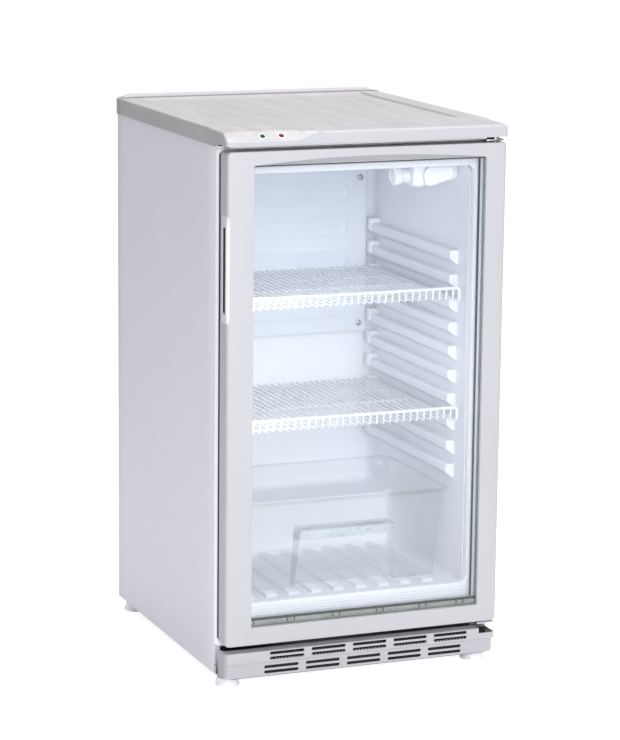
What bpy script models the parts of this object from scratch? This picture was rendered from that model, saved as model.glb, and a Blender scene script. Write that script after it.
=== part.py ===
"""Glass door merchandiser: a counter-height cooler with one glass door, hinged on the right.

Metres, +Z up, X to the right of someone who faces the door. The origin is on the floor, under the
middle of the cabinet. Depths are counted from the door's front face towards the back.
"""

import math

import bmesh
import bpy
from mathutils import Vector

# Driving dimensions
WIDTH = 0.500
DEPTH = 0.570
HEIGHT = 0.950
GAP = 0.0003
SHEET = 0.0012

FOOT_HEIGHT = 0.020
FOOT_RADIUS = 0.0205
FOOT_X = 0.228
FOOT_DEPTHS = {"front": 0.048, "rear": 0.535}

LID_OVERHANG = 0.002
LID_DECK = 0.943
LID_SKIRT = 0.914
LID_LIP = 0.920
LID_UNDERSIDE = 0.9165
LID_WALL = 0.004
LID_FRONT_WALL = 0.010
LID_ROUND = 0.016
LID_RECESS_X = 0.212
LID_RECESS_DEPTHS = (0.110, 0.530)
LID_RECESS_SINK = 0.0025
RIM_DEPTHS = (0.532, DEPTH)
RIM_RAMP = 0.022

DOOR_THICKNESS = 0.034
DOOR_BOTTOM = 0.079
DOOR_TOP = 0.911
DOOR_VIEW_X = (-0.203, 0.213)
DOOR_VIEW_Z = (0.110, 0.887)
DOOR_LIP = 0.0065
REBATE_X = (-0.222, 0.232)
REBATE_Z = (0.094, 0.900)
UNIT_X = (-0.2065, 0.2165)
UNIT_Z = (0.1115, 0.8855)
PANE = 0.004
SPACER_FACE = 0.010

HINGE_X = 0.236
HINGE_DEPTH = 0.018
PIN_RADIUS = 0.004
BUSH_RADIUS = 0.0065
BUSH_HEIGHT = 0.010

FLANGE_FRONT = 0.042
FLANGE_BACK = 0.0565
FLANGE_BOTTOM = 0.070
FLANGE_TOP = 0.912
THROAT_X = 0.220
THROAT_Z = (0.106, 0.880)

LINER_X = 0.210
LINER_FRONT = 0.0568
LINER_BACK = 0.470
LINER_FLOOR = 0.1275
LINER_CEILING = 0.868
LINER_SHEET = 0.0015
SILL_TOP = 0.140
HUMP_DEPTH = 0.375
HUMP_TOP = 0.225

RAIL_FIRST = 0.338
RAIL_PITCH = 0.0418
RAIL_COUNT = 10
RAIL_REACH = 0.015
RAIL_DEPTHS = (0.100, 0.450)
RIB_PITCH = 0.042
RIB_WIDTH = 0.020
RIB_TOP = 0.1335
RIB_DEPTHS = (0.107, 0.372)

UNDERSIDE_Z = 0.0899
COMPARTMENT_DEPTH = 0.4121
COMPARTMENT_ROOF = 0.1874
REAR_PANEL_BACK = 0.530

SHELF_X = 0.2015
SHELF_DEPTHS = (0.066, 0.440)
SHELF_RISE = 0.0266
SHELF_BAR = 0.003
SHELF_PITCH = 0.025
SHELF_RAILS = {"upper_shelf": 7, "lower_shelf": 2}

BASKET_RIM_X = 0.203
BASKET_RIM_DEPTHS = (0.095, 0.370)
BASKET_TOP = 0.296
BASKET_BOTTOM = RIB_TOP + GAP
BASKET_WALL = 0.0025
BASKET_GRIP_X = (-0.078, 0.110)
BASKET_GRIP_DEPTH = 0.152
BASKET_GRIP_TOP = 0.238

GRILLE_TOP = 0.0672
GRILLE_STEP = 0.0505
GRILLE_BOTTOM = 0.022
GRILLE_SHEET = 0.0025
GRILLE_SETBACK = 0.006
SLOT_LENGTH = 0.0615
SLOT_HEIGHT = 0.0046
SLOT_PITCH = 0.0755
SLOT_COUNT = 5
SLOT_FIRST_UPPER = -0.1695
SLOT_FIRST_LOWER = -0.1775
SLOT_ROWS_UPPER = (0.0545, 0.0620)
SLOT_ROWS_LOWER = (0.0290, 0.0385)

HANDLE_Z = (0.628, 0.806)
HANDLE_SLOT_Z = (0.645, 0.788)
HANDLE_SLOT_DEPTHS = (0.0045, 0.0145)
HANDLE_X = (-WIDTH / 2 - LID_OVERHANG, -0.228)

LAMP_X = (0.1270, 0.2095)
LAMP_DEPTHS = (0.105, 0.165)
LAMP_Z = (0.823, 0.8677)
KNOB_DEPTH = 0.135
KNOB_Z = 0.843
KNOB_RADIUS = 0.017
COLLAR_RADIUS = 0.013

INDICATORS = {"indicator_green": -0.186, "indicator_red": -0.153}
INDICATOR_Z = 0.9365
INDICATOR_RADIUS = 0.0045

CONDENSER_DEPTH = 0.5505
CONDENSER_TUBE = 0.0025
CONDENSER_X = 0.200
CONDENSER_Z = (0.255, 0.855)
CONDENSER_PASSES = 13

CROSSBAR_DEPTH = 0.564
CORD_X = 0.190
CORD_Z = 0.042

COMPRESSOR_X = -0.070
COMPRESSOR_DEPTH = 0.487
COMPRESSOR_RADIUS = 0.060
COMPRESSOR_Z = (0.0275, 0.150)

INNER_X = WIDTH / 2 - SHEET - GAP

PARTS = "glass_door_merchandiser"
CUTTERS = "cutters"


# Scene and materials


def clear_scene():
    for item in list(bpy.data.objects):
        bpy.data.objects.remove(item, do_unlink=True)


def collection(name):
    made = bpy.data.collections.new(name)
    bpy.context.scene.collection.children.link(made)
    return made


def surface(name, colour, roughness, metallic=0.0, alpha=1.0):
    made = bpy.data.materials.new(name)
    made.use_nodes = True
    shader = made.node_tree.nodes["Principled BSDF"]
    shader.inputs["Base Color"].default_value = (*colour, 1.0)
    shader.inputs["Roughness"].default_value = roughness
    shader.inputs["Metallic"].default_value = metallic
    shader.inputs["Alpha"].default_value = alpha
    made.diffuse_color = (*colour, alpha)
    return made


def make_surfaces():
    return {
        "cabinet_paint": surface("cabinet_paint", (0.74, 0.75, 0.80), 0.42),
        "lid_plastic": surface("lid_plastic", (0.46, 0.44, 0.46), 0.48),
        "white_enamel": surface("white_enamel", (0.86, 0.87, 0.89), 0.30),
        "door_plastic": surface("door_plastic", (0.50, 0.50, 0.52), 0.38),
        "inner_plastic": surface("inner_plastic", (0.80, 0.86, 0.90), 0.35),
        "grille_plastic": surface("grille_plastic", (0.50, 0.50, 0.52), 0.45),
        "handle_plastic": surface("handle_plastic", (0.50, 0.49, 0.51), 0.40),
        "gasket_rubber": surface("gasket_rubber", (0.03, 0.03, 0.033), 0.60),
        "pane_glass": surface("pane_glass", (0.90, 0.96, 0.95), 0.03, 0.0, 0.25),
        "spacer_aluminium": surface("spacer_aluminium", (0.55, 0.58, 0.57), 0.40, 1.0),
        "shelf_wire": surface("shelf_wire", (0.85, 0.88, 0.90), 0.35),
        "clear_plastic": surface("clear_plastic", (0.85, 0.92, 0.95), 0.08, 0.0, 0.35),
        "diffuser_plastic": surface("diffuser_plastic", (0.88, 0.90, 0.92), 0.25),
        "evaporator_paint": surface("evaporator_paint", (0.80, 0.85, 0.89), 0.40),
        "green_lens": surface("green_lens", (0.05, 0.50, 0.15), 0.15),
        "red_lens": surface("red_lens", (0.60, 0.04, 0.04), 0.15),
        "foot_plastic": surface("foot_plastic", (0.82, 0.84, 0.86), 0.30),
        "zinc_steel": surface("zinc_steel", (0.62, 0.63, 0.65), 0.38, 1.0),
        "black_enamel": surface("black_enamel", (0.02, 0.02, 0.022), 0.45),
        "black_plastic": surface("black_plastic", (0.03, 0.03, 0.032), 0.55),
        "copper": surface("copper", (0.78, 0.42, 0.28), 0.35, 1.0),
        "foam": surface("foam", (0.85, 0.78, 0.55), 0.90),
    }


# Building blocks


def add_object(name, mesh, material=None):
    made = bpy.data.objects.new(name, mesh)
    if material is None:
        bpy.data.collections[CUTTERS].objects.link(made)
        made.hide_render = True
        made.display_type = "WIRE"
    else:
        bpy.data.collections[PARTS].objects.link(made)
        mesh.materials.append(material)
    return made


def span(centre, size):
    return (centre - size / 2, centre + size / 2)


def grown(limits, by):
    return (limits[0] - by, limits[1] + by)


def depth(value):
    return value - DEPTH / 2


def box_mesh(name, boxes, middle=Vector()):
    """Boxes as (across, back, up) limits, in one mesh whose own zero is at middle."""
    shape = bmesh.new()
    for across, back, up in boxes:
        low = Vector((across[0], depth(back[0]), up[0]))
        high = Vector((across[1], depth(back[1]), up[1]))
        corners = bmesh.ops.create_cube(shape, size=1.0)["verts"]
        bmesh.ops.scale(shape, vec=high - low, verts=corners)
        bmesh.ops.translate(shape, vec=(low + high) / 2 - middle, verts=corners)
    mesh = bpy.data.meshes.new(name)
    shape.to_mesh(mesh)
    shape.free()
    return mesh


def box(name, across, back, up, material=None, bevel=0.0, segments=2):
    """A box between limits in X, in depth and in Z."""
    middle = Vector((sum(across) / 2, depth(sum(back) / 2), sum(up) / 2))
    made = add_object(name, box_mesh(name, [(across, back, up)], middle), material)
    made.location = middle
    if bevel:
        rounding = made.modifiers.new("rounding", "BEVEL")
        rounding.width = bevel
        rounding.segments = segments
    return made


def boxes(name, limits):
    """Separate boxes in one cutter or one guide."""
    return add_object(name, box_mesh(name, limits))


def combine(target, other, operation):
    step = target.modifiers.new(other.name, "BOOLEAN")
    step.operation = operation
    step.object = other


def cut(target, *cutters):
    for cutter in cutters:
        combine(target, cutter, "DIFFERENCE")


def join(target, *others):
    for other in others:
        combine(target, other, "UNION")


def ring(name, outer_x, outer_z, inner_x, inner_z, back, material, bevel=0.0):
    """A rectangular frame round an opening that goes right through it."""
    made = box(name, outer_x, back, outer_z, material, bevel)
    cut(made, box(name + "_opening", inner_x, grown(back, 0.002), inner_z))
    return made


def extruded(name, outline, across, material=None):
    """A closed outline of (depth, height) points, extruded in X."""
    shape = bmesh.new()
    near = [shape.verts.new((across[0], depth(d), z)) for d, z in outline]
    side = shape.faces.new(near)
    moved = bmesh.ops.extrude_face_region(shape, geom=[side])["geom"]
    far = [item for item in moved if isinstance(item, bmesh.types.BMVert)]
    bmesh.ops.translate(shape, vec=(across[1] - across[0], 0, 0), verts=far)
    bmesh.ops.recalc_face_normals(shape, faces=shape.faces)
    mesh = bpy.data.meshes.new(name)
    shape.to_mesh(mesh)
    shape.free()
    return add_object(name, mesh, material)


def bent_sheet(name, line, across, thickness, material):
    """A sheet folded along X: an open strip through (depth, height) points, given a thickness."""
    shape = bmesh.new()
    near = [shape.verts.new((across[0], depth(d), z)) for d, z in line]
    far = [shape.verts.new((across[1], depth(d), z)) for d, z in line]
    for index in range(len(line) - 1):
        shape.faces.new((near[index], far[index], far[index + 1], near[index + 1]))
    mesh = bpy.data.meshes.new(name)
    shape.to_mesh(mesh)
    shape.free()
    made = add_object(name, mesh, material)
    wall = made.modifiers.new("wall", "SOLIDIFY")
    wall.thickness = thickness
    wall.offset = 0.0
    wall.use_even_offset = True
    return made


def turned(name, profile, material=None, steps=24, closed=False):
    """A profile of (radius, height) points, top to bottom, turned about its own Z."""
    mesh = bpy.data.meshes.new(name)
    edges = [(index, index + 1) for index in range(len(profile) - 1)]
    if closed:
        edges.append((len(profile) - 1, 0))
    mesh.from_pydata([(radius, 0, z) for radius, z in profile], edges, [])
    made = add_object(name, mesh, material)
    turn = made.modifiers.new("turn", "SCREW")
    turn.steps = steps
    turn.render_steps = steps
    turn.use_merge_vertices = True
    turn.merge_threshold = 0.00001
    turn.use_smooth_shade = True
    return made


def placed(item, across, back, up, rotation=(0, 0, 0)):
    item.location = (across, depth(back), up)
    item.rotation_euler = rotation
    return item


def rod(name, radius, length, material=None, steps=24):
    """A plain cylinder from z = 0 upwards."""
    return turned(name, [(0, length), (radius, length), (radius, 0), (0, 0)], material, steps)


def tube(name, points, radius, material):
    """A round tube along (x, depth, z) points, as one closed mesh."""
    curve = bpy.data.curves.new(name, "CURVE")
    curve.dimensions = "3D"
    curve.bevel_depth = radius
    curve.bevel_resolution = 2
    curve.use_fill_caps = True
    line = curve.splines.new("POLY")
    line.points.add(len(points) - 1)
    for point, (x, d, z) in zip(line.points, points):
        point.co = (x, depth(d), z, 1.0)
    guide = bpy.data.objects.new(name + "_curve", curve)
    bpy.data.collections[CUTTERS].objects.link(guide)
    graph = bpy.context.evaluated_depsgraph_get()
    mesh = bpy.data.meshes.new_from_object(guide.evaluated_get(graph))
    mesh.name = name
    shape = bmesh.new()
    shape.from_mesh(mesh)
    bmesh.ops.remove_doubles(shape, verts=shape.verts, dist=0.00001)
    shape.to_mesh(mesh)
    shape.free()
    mesh.materials.clear()
    mesh.shade_smooth()
    made = add_object(name, mesh, material)
    made.matrix_world = guide.matrix_world
    bpy.data.objects.remove(guide)
    return made


def rounded_path(corners, radius, steps=4):
    """A path with its corners rounded: straight stretches joined by arcs."""
    path = [Vector(corners[0])]
    for before, corner, after in zip(corners, corners[1:], corners[2:]):
        here = Vector(corner)
        towards = (Vector(before) - here).normalized()
        away = (Vector(after) - here).normalized()
        half = towards.angle(away) / 2
        reach = radius / math.tan(half)
        centre = here + (towards + away).normalized() * radius / math.sin(half)
        start = (here + towards * reach - centre).normalized()
        end = (here + away * reach - centre).normalized()
        for step in range(steps + 1):
            path.append(centre + radius * start.slerp(end, step / steps))
    path.append(Vector(corners[-1]))
    return path


# Cabinet shell


def side_panels(paint):
    for name, sign in (("left_side_panel", -1), ("right_side_panel", 1)):
        outside = sign * WIDTH / 2
        across = sorted((outside, outside - sign * SHEET))
        back = (FLANGE_BACK + GAP, DEPTH)
        box(name, across, back, (FOOT_HEIGHT, LID_UNDERSIDE - GAP), paint)


def rear_panel(paint):
    back = (REAR_PANEL_BACK - SHEET, REAR_PANEL_BACK)
    up = (COMPARTMENT_ROOF + SHEET / 2 + GAP, LID_UNDERSIDE - GAP)
    box("rear_panel", (-INNER_X, INNER_X), back, up, paint)


def underside_panel(steel):
    line = (
        (LINER_FRONT + SHEET, UNDERSIDE_Z),
        (COMPARTMENT_DEPTH, UNDERSIDE_Z),
        (COMPARTMENT_DEPTH, COMPARTMENT_ROOF),
        (REAR_PANEL_BACK, COMPARTMENT_ROOF),
    )
    bent_sheet("underside_panel", line, (-INNER_X, INNER_X), SHEET, steel)


def base_pan(steel):
    up = (FOOT_HEIGHT, FOOT_HEIGHT + 0.002)
    box("base_pan", (-INNER_X, INNER_X), (0.030, DEPTH - SHEET), up, steel)


def rear_crossbar(steel):
    """The folded bar across the open back of the machine compartment, with the cord's hole."""
    up = (FOOT_HEIGHT + 0.002 + GAP, 0.062)
    bar = box("rear_crossbar", (-INNER_X, INNER_X), (CROSSBAR_DEPTH, CROSSBAR_DEPTH + 0.0015), up, steel)
    hole = placed(rod("gland_hole", 0.0083, 0.02), CORD_X, DEPTH + 0.005, CORD_Z, (math.pi / 2, 0, 0))
    cut(bar, hole)


def cord_gland(plastic):
    """The bush in the crossbar where the mains cord goes in, with a groove that grips the sheet."""
    profile = [
        (0.0045, 0.010),
        (0.0095, 0.010),
        (0.0105, 0.0065),
        (0.0080, 0.0065),
        (0.0080, 0.0045),
        (0.0105, 0.0045),
        (0.0105, 0.0015),
        (0.0045, 0.0015),
    ]
    gland = turned("cord_gland", profile, plastic, steps=20, closed=True)
    placed(gland, CORD_X, CROSSBAR_DEPTH + 0.0063, CORD_Z, (math.pi / 2, 0, 0))


def lid_outline():
    """The lid's side profile: upright lip, a quarter round up to the deck, and a flat deck."""
    points = [(0.0, LID_SKIRT)]
    for step in range(7):
        turn = math.radians(90 * step / 6)
        back = LID_ROUND * (1 - math.cos(turn))
        up = LID_DECK - LID_ROUND * (1 - math.sin(turn))
        points.append((back, up))
    return points + [(DEPTH, LID_DECK), (DEPTH, LID_SKIRT)]


def lid_rim(half):
    """The raised strip along the lid's back edge, with a ramp down at each end."""
    low = LID_DECK - 0.001
    rise = HEIGHT - low
    shape = bmesh.new()
    edge = half - 0.001
    outline = ((-edge, low), (edge, low), (edge - RIM_RAMP, low + rise), (RIM_RAMP - edge, low + rise))
    front = [shape.verts.new((x, depth(RIM_DEPTHS[0]), z)) for x, z in outline]
    face = shape.faces.new(front)
    moved = bmesh.ops.extrude_face_region(shape, geom=[face])["geom"]
    rear = [item for item in moved if isinstance(item, bmesh.types.BMVert)]
    length = RIM_DEPTHS[1] - RIM_DEPTHS[0]
    bmesh.ops.translate(shape, vec=(0, length, 0), verts=rear)
    bmesh.ops.recalc_face_normals(shape, faces=shape.faces)
    mesh = bpy.data.meshes.new("lid_rim")
    shape.to_mesh(mesh)
    shape.free()
    return add_object("lid_rim", mesh)


def top_cover(plastic):
    """The moulded lid: a skirted cap, hollow below, with a sunk deck and a raised back rim."""
    half = WIDTH / 2 + LID_OVERHANG
    lid = extruded("top_cover", lid_outline(), (-half, half), plastic)
    join(lid, lid_rim(half))
    recess = (LID_DECK - LID_RECESS_SINK, LID_DECK + 0.01)
    inside = WIDTH / 2 + GAP
    low = LID_SKIRT - 0.01
    hollow_top = LID_DECK - LID_RECESS_SINK - LID_WALL
    hollow_x = grown((-inside, inside), -LID_WALL)
    hollow = (hollow_x, (LID_FRONT_WALL, DEPTH - LID_WALL), (low, hollow_top))
    cut(
        lid,
        box("lid_recess", (-LID_RECESS_X, LID_RECESS_X), LID_RECESS_DEPTHS, recess),
        box("lid_seat", (-inside, inside), (0.036, DEPTH + 0.01), (low, LID_UNDERSIDE)),
        box("lid_front", (-half - 0.01, half + 0.01), (-0.01, 0.0362), (low, LID_LIP)),
        box("lid_hollow", *hollow),
    )
    for name, across in INDICATORS.items():
        hole = rod(name + "_hole", INDICATOR_RADIUS + GAP, 0.030)
        cut(lid, placed(hole, across, 0.013, INDICATOR_Z, (math.pi / 2, 0, 0)))


def indicators(materials):
    for name, across in INDICATORS.items():
        profile = [
            (0, 0.0110),
            (INDICATOR_RADIUS * 0.7, 0.0105),
            (INDICATOR_RADIUS, 0.0085),
            (INDICATOR_RADIUS, 0),
            (0, 0),
        ]
        lens = turned(name, profile, materials[name.split("_")[1] + "_lens"], steps=20)
        placed(lens, across, 0.0127, INDICATOR_Z, (math.pi / 2, 0, 0))


def front_frame(enamel):
    """The steel flange round the cabinet's mouth, which the door's gasket seals on."""
    edge = WIDTH / 2 - GAP
    outer = ((-edge, edge), (FLANGE_BOTTOM, FLANGE_TOP))
    inner = ((-THROAT_X, THROAT_X), THROAT_Z)
    ring("front_frame", *outer, *inner, (FLANGE_FRONT, FLANGE_BACK), enamel)


def breaker_frame(plastic):
    """The ribbed plastic throat between the steel flange and the liner, with its high sill."""
    edge = THROAT_X - GAP
    outer = ((-edge, edge), (THROAT_Z[0] + GAP, THROAT_Z[1] - GAP))
    inner = ((-LINER_X - 0.002, LINER_X + 0.002), (SILL_TOP, LINER_CEILING))
    back = (FLANGE_FRONT + 0.0005, FLANGE_BACK)
    ring("breaker_frame", *outer, *inner, back, plastic)


# Cold compartment


def rail_outline(top):
    """One shelf rail in section: flat on top, sloping back into the wall below."""
    wall = LINER_X + LINER_SHEET / 2
    tip = LINER_X - RAIL_REACH
    return ((wall, top), (tip, top), (tip, top - 0.006), (wall, top - 0.015))


def liner_rails():
    """All the shelf rails of both walls, as prisms that run from front to back."""
    shape = bmesh.new()
    for sign in (-1, 1):
        for index in range(RAIL_COUNT):
            outline = rail_outline(RAIL_FIRST + index * RAIL_PITCH)
            front = [shape.verts.new((sign * x, depth(RAIL_DEPTHS[0]), z)) for x, z in outline]
            face = shape.faces.new(front)
            moved = bmesh.ops.extrude_face_region(shape, geom=[face])["geom"]
            rear = [item for item in moved if isinstance(item, bmesh.types.BMVert)]
            length = RAIL_DEPTHS[1] - RAIL_DEPTHS[0]
            bmesh.ops.translate(shape, vec=(0, length, 0), verts=rear)
    bmesh.ops.recalc_face_normals(shape, faces=shape.faces)
    mesh = bpy.data.meshes.new("liner_rails")
    shape.to_mesh(mesh)
    shape.free()
    return add_object("liner_rails", mesh)


def liner_ribs():
    """The raised ribs that the basket stands on."""
    up = (LINER_FLOOR - LINER_SHEET / 2, RIB_TOP)
    centres = [RIB_PITCH * index for index in range(-4, 5)]
    return boxes("liner_ribs", [(span(centre, RIB_WIDTH), RIB_DEPTHS, up) for centre in centres])


def inner_liner(plastic):
    """The moulded inner box, open at the front, stepped over the machine compartment."""
    wall = LINER_SHEET
    outer_x = (-LINER_X - wall, LINER_X + wall)
    inner_x = (-LINER_X, LINER_X)
    outer_z = (LINER_FLOOR - wall, LINER_CEILING + wall)
    liner = box("inner_liner", outer_x, (LINER_FRONT, LINER_BACK + wall), outer_z, plastic)
    below_hump = ((-0.3, 0.3), (HUMP_DEPTH + wall, 0.6), (0.0, HUMP_TOP - wall))
    cut(
        liner,
        box("liner_under_step", *below_hump),
        box("liner_upper", inner_x, (0.0, LINER_BACK), (HUMP_TOP, LINER_CEILING)),
        box("liner_lower", inner_x, (0.0, HUMP_DEPTH), (LINER_FLOOR, HUMP_TOP + 0.01)),
    )
    join(liner, liner_rails(), liner_ribs())


def foam_insulation(foam):
    """The foamed-in-place core between the liner and the steel skins."""
    edge = INNER_X - GAP
    up = (UNDERSIDE_Z + SHEET / 2 + GAP, LID_UNDERSIDE - GAP)
    back = (LINER_FRONT, REAR_PANEL_BACK - SHEET - GAP)
    core = box("foam_insulation", (-edge, edge), back, up, foam)
    wall = LINER_SHEET + GAP
    outside = (-LINER_X - wall, LINER_X + wall)
    upper_z = (HUMP_TOP - wall, LINER_CEILING + wall)
    lower_z = (LINER_FLOOR - wall, HUMP_TOP)
    roof = COMPARTMENT_ROOF + SHEET / 2 + GAP
    front = COMPARTMENT_DEPTH - SHEET / 2 - GAP
    cut(
        core,
        box("foam_upper", outside, (0.0, LINER_BACK + wall), upper_z),
        box("foam_lower", outside, (0.0, HUMP_DEPTH + wall), lower_z),
        box("foam_machinery", (-0.3, 0.3), (front, 0.6), (0.0, roof)),
    )


def evaporator(paint, steel):
    """The cold plate on the rear wall, held off it by four screws with spacers."""
    back = (LINER_BACK - 0.013, LINER_BACK - 0.009)
    up = (0.512, 0.815)
    plate = box("evaporator_plate", (-0.192, 0.192), back, up, paint)
    number = 0
    for across in (-0.177, 0.177):
        for height in (0.528, 0.797):
            number += 1
            name = "evaporator_screw_%d" % number
            profile = [(0, 0.0170), (0.004, 0.0160), (0.0055, 0.0140), (0.0055, 0.0130)]
            profile += [(0.0030, 0.0130), (0.0030, 0), (0, 0)]
            screw = turned(name, profile, steel, steps=12)
            placed(screw, across, LINER_BACK - GAP, height, (math.pi / 2, 0, 0))
            hole = rod(name + "_hole", 0.0034, 0.03, steps=12)
            cut(plate, placed(hole, across, LINER_BACK + 0.005, height, (math.pi / 2, 0, 0)))


def lamp_unit(materials):
    """The lamp and thermostat housing under the ceiling, its diffuser and what is inside."""
    housing = box("lamp_housing", LAMP_X, LAMP_DEPTHS, LAMP_Z, materials["inner_plastic"], 0.003)
    sideways = (0, -math.pi / 2, 0)
    collar = rod("lamp_collar", COLLAR_RADIUS, 0.016)
    join(housing, placed(collar, LAMP_X[0] + 0.0015, KNOB_DEPTH, KNOB_Z, sideways))
    pocket_z = (LAMP_Z[0] + 0.005, LAMP_Z[1] + 0.01)
    window_z = (LAMP_Z[0] + 0.007, LAMP_Z[1] - 0.008)
    cut(
        housing,
        box("lamp_pocket", (0.1300, 0.2065), (0.109, 0.161), pocket_z),
        box("lamp_window", (0.1455, 0.1965), (0.100, 0.112), window_z),
        placed(rod("knob_hole", 0.0035, 0.03), LAMP_X[0] + 0.005, KNOB_DEPTH, KNOB_Z, sideways),
    )
    diffuser_z = (LAMP_Z[0] + 0.003, LAMP_Z[1] - 0.006)
    diffuser_back = (0.094, LAMP_DEPTHS[0] - GAP)
    diffuser = materials["diffuser_plastic"]
    box("lamp_diffuser", (0.143, 0.199), diffuser_back, diffuser_z, diffuser, 0.004)
    lamp = rod("lamp_tube", 0.007, 0.048, diffuser, steps=16)
    placed(lamp, 0.1960, 0.124, 0.845, sideways)
    thermostat_z = (LAMP_Z[0] + 0.006, LAMP_Z[1] - 0.006)
    box("thermostat", (0.1305, 0.1430), (0.116, 0.156), thermostat_z, materials["zinc_steel"])


def thermostat_knob(plastic):
    """The dial, turned about the X axis of its shaft, which passes through the collar."""
    profile = [
        (0, 0.0130),
        (KNOB_RADIUS - 0.002, 0.0130),
        (KNOB_RADIUS, 0.0110),
        (KNOB_RADIUS, 0.0015),
        (KNOB_RADIUS - 0.001, 0),
        (0.0030, 0),
        (0.0030, -0.0165),
        (0, -0.0165),
    ]
    knob = turned("thermostat_knob", profile, plastic, steps=32)
    face = LAMP_X[0] + 0.0015 - 0.016 - GAP
    placed(knob, face, KNOB_DEPTH, KNOB_Z, (0, -math.pi / 2, 0))


def wire_shelf(name, rail, wire):
    """A wire shelf: a grid deck that lies on the rails, with a raised lip along its front."""
    low = RAIL_FIRST + rail * RAIL_PITCH + GAP
    top = low + SHELF_RISE
    shelf = box(name, (-SHELF_X, SHELF_X), SHELF_DEPTHS, (low, top), wire)
    over = (low + SHELF_BAR, top + 0.01)
    cut(shelf, box(name + "_over", (-0.3, 0.3), (SHELF_DEPTHS[0] + SHELF_BAR, 0.5), over))
    count = round(2 * SHELF_X / SHELF_PITCH)
    pitch = (2 * SHELF_X - SHELF_BAR) / count
    third = (SHELF_DEPTHS[1] - SHELF_DEPTHS[0] - SHELF_BAR) / 3
    lip_back = (SHELF_DEPTHS[0] - 0.01, SHELF_DEPTHS[0] + 0.01)
    deck, lip = [], []
    for column in range(count):
        left = -SHELF_X + SHELF_BAR + column * pitch
        across = (left, left + pitch - SHELF_BAR)
        lip.append((across, lip_back, (low + 2 * SHELF_BAR, top - SHELF_BAR)))
        for row in range(3):
            near = SHELF_DEPTHS[0] + SHELF_BAR + row * third
            deck.append((across, (near, near + third - SHELF_BAR), (low - 0.01, low + 0.005)))
    cut(shelf, boxes(name + "_deck", deck), boxes(name + "_lip", lip))


def tapered(name, top_x, top_back, bottom_x, bottom_back, up, material=None):
    """A box whose bottom is smaller than its top, as a moulded tub's is."""
    made = add_object(name, box_mesh(name, [(top_x, top_back, up)]), material)
    middle = sum(up) / 2
    for corner in made.data.vertices:
        if corner.co.z < middle:
            corner.co.x = bottom_x[0] if corner.co.x < sum(top_x) / 2 else bottom_x[1]
            near = corner.co.y < depth(sum(top_back) / 2)
            corner.co.y = depth(bottom_back[0] if near else bottom_back[1])
    return made


def basket(plastic):
    """The clear drawer under the shelves: drafted walls, a rim and a front set back at the grip."""
    rim = 0.0045
    wall = BASKET_WALL
    top_x = grown((-BASKET_RIM_X, BASKET_RIM_X), -0.006)
    top_back = grown(BASKET_RIM_DEPTHS, -0.005)
    bottom_x = (-0.190, 0.190)
    bottom_back = (0.125, 0.352)
    up = (BASKET_BOTTOM, BASKET_TOP - 0.001)
    tub = tapered("basket", top_x, top_back, bottom_x, bottom_back, up, plastic)
    grip = (BASKET_GRIP_X, (0.05, BASKET_GRIP_DEPTH), (0.0, BASKET_GRIP_TOP))
    cut(tub, box("basket_grip", *grip))
    rim_z = (BASKET_TOP - rim, BASKET_TOP)
    join(tub, box("basket_rim", (-BASKET_RIM_X, BASKET_RIM_X), BASKET_RIM_DEPTHS, rim_z))
    cavity = tapered(
        "basket_cavity",
        grown(top_x, -wall),
        grown(top_back, -wall),
        grown(bottom_x, -wall),
        grown(bottom_back, -wall),
        (BASKET_BOTTOM + wall, BASKET_TOP + 0.005),
    )
    step_x = grown(BASKET_GRIP_X, wall)
    step = (step_x, (0.05, BASKET_GRIP_DEPTH + wall), (0.0, BASKET_GRIP_TOP + wall))
    cut(cavity, box("basket_cavity_step", *step))
    cut(tub, cavity)


# Door


def door_frame(plastic):
    """The door's frame: a front lip round the view, and a rebate behind it for the glass."""
    edge = WIDTH / 2
    outer = ((-edge, edge), (DOOR_BOTTOM, DOOR_TOP))
    frame = ring("door_frame", *outer, DOOR_VIEW_X, DOOR_VIEW_Z, (0, DOOR_THICKNESS), plastic, 0.004)
    cut(frame, box("door_rebate", REBATE_X, (DOOR_LIP, 0.05), REBATE_Z))
    notch_x = (-0.3, HANDLE_X[1] + GAP)
    cut(frame, box("handle_notch", notch_x, (-0.01, 0.0333), grown(HANDLE_Z, GAP)))
    for name, up in (("top", DOOR_TOP - BUSH_HEIGHT - GAP), ("bottom", DOOR_BOTTOM - 0.01)):
        hole = rod(name + "_bush_hole", BUSH_RADIUS + GAP, BUSH_HEIGHT + 0.01 + GAP)
        cut(frame, placed(hole, HINGE_X, HINGE_DEPTH, up))


def door_glazing(glass, aluminium, plastic):
    """Two panes with a hollow spacer frame between them, held by an inner frame from behind."""
    pane_x = grown(REBATE_X, -0.0005)
    pane_z = grown(REBATE_Z, -0.0005)
    front = DOOR_LIP + GAP
    box("outer_pane", pane_x, (front, front + PANE), pane_z, glass)
    middle = front + PANE + GAP
    outer = (grown(UNIT_X, SPACER_FACE), grown(UNIT_Z, SPACER_FACE))
    spacer_back = (middle, middle + 0.0098)
    ring("pane_spacer", *outer, UNIT_X, UNIT_Z, spacer_back, aluminium)
    rear = spacer_back[1] + GAP
    box("inner_pane", pane_x, (rear, rear + 0.003), pane_z, glass)
    outer = (grown(REBATE_X, -GAP), grown(REBATE_Z, -GAP))
    inner_back = (rear + 0.003 + GAP, DOOR_THICKNESS)
    ring("door_inner_frame", *outer, UNIT_X, UNIT_Z, inner_back, plastic)


def door_gasket(rubber):
    """The magnetic seal on the back of the door, inside the line of the hinge."""
    outer = ((-0.2485, 0.2315), (0.0825, 0.9080))
    inner = ((-0.2235, 0.2165), (0.1055, 0.8830))
    back = (DOOR_THICKNESS + GAP, FLANGE_FRONT - GAP)
    ring("door_gasket", *outer, *inner, back, rubber)


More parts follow.
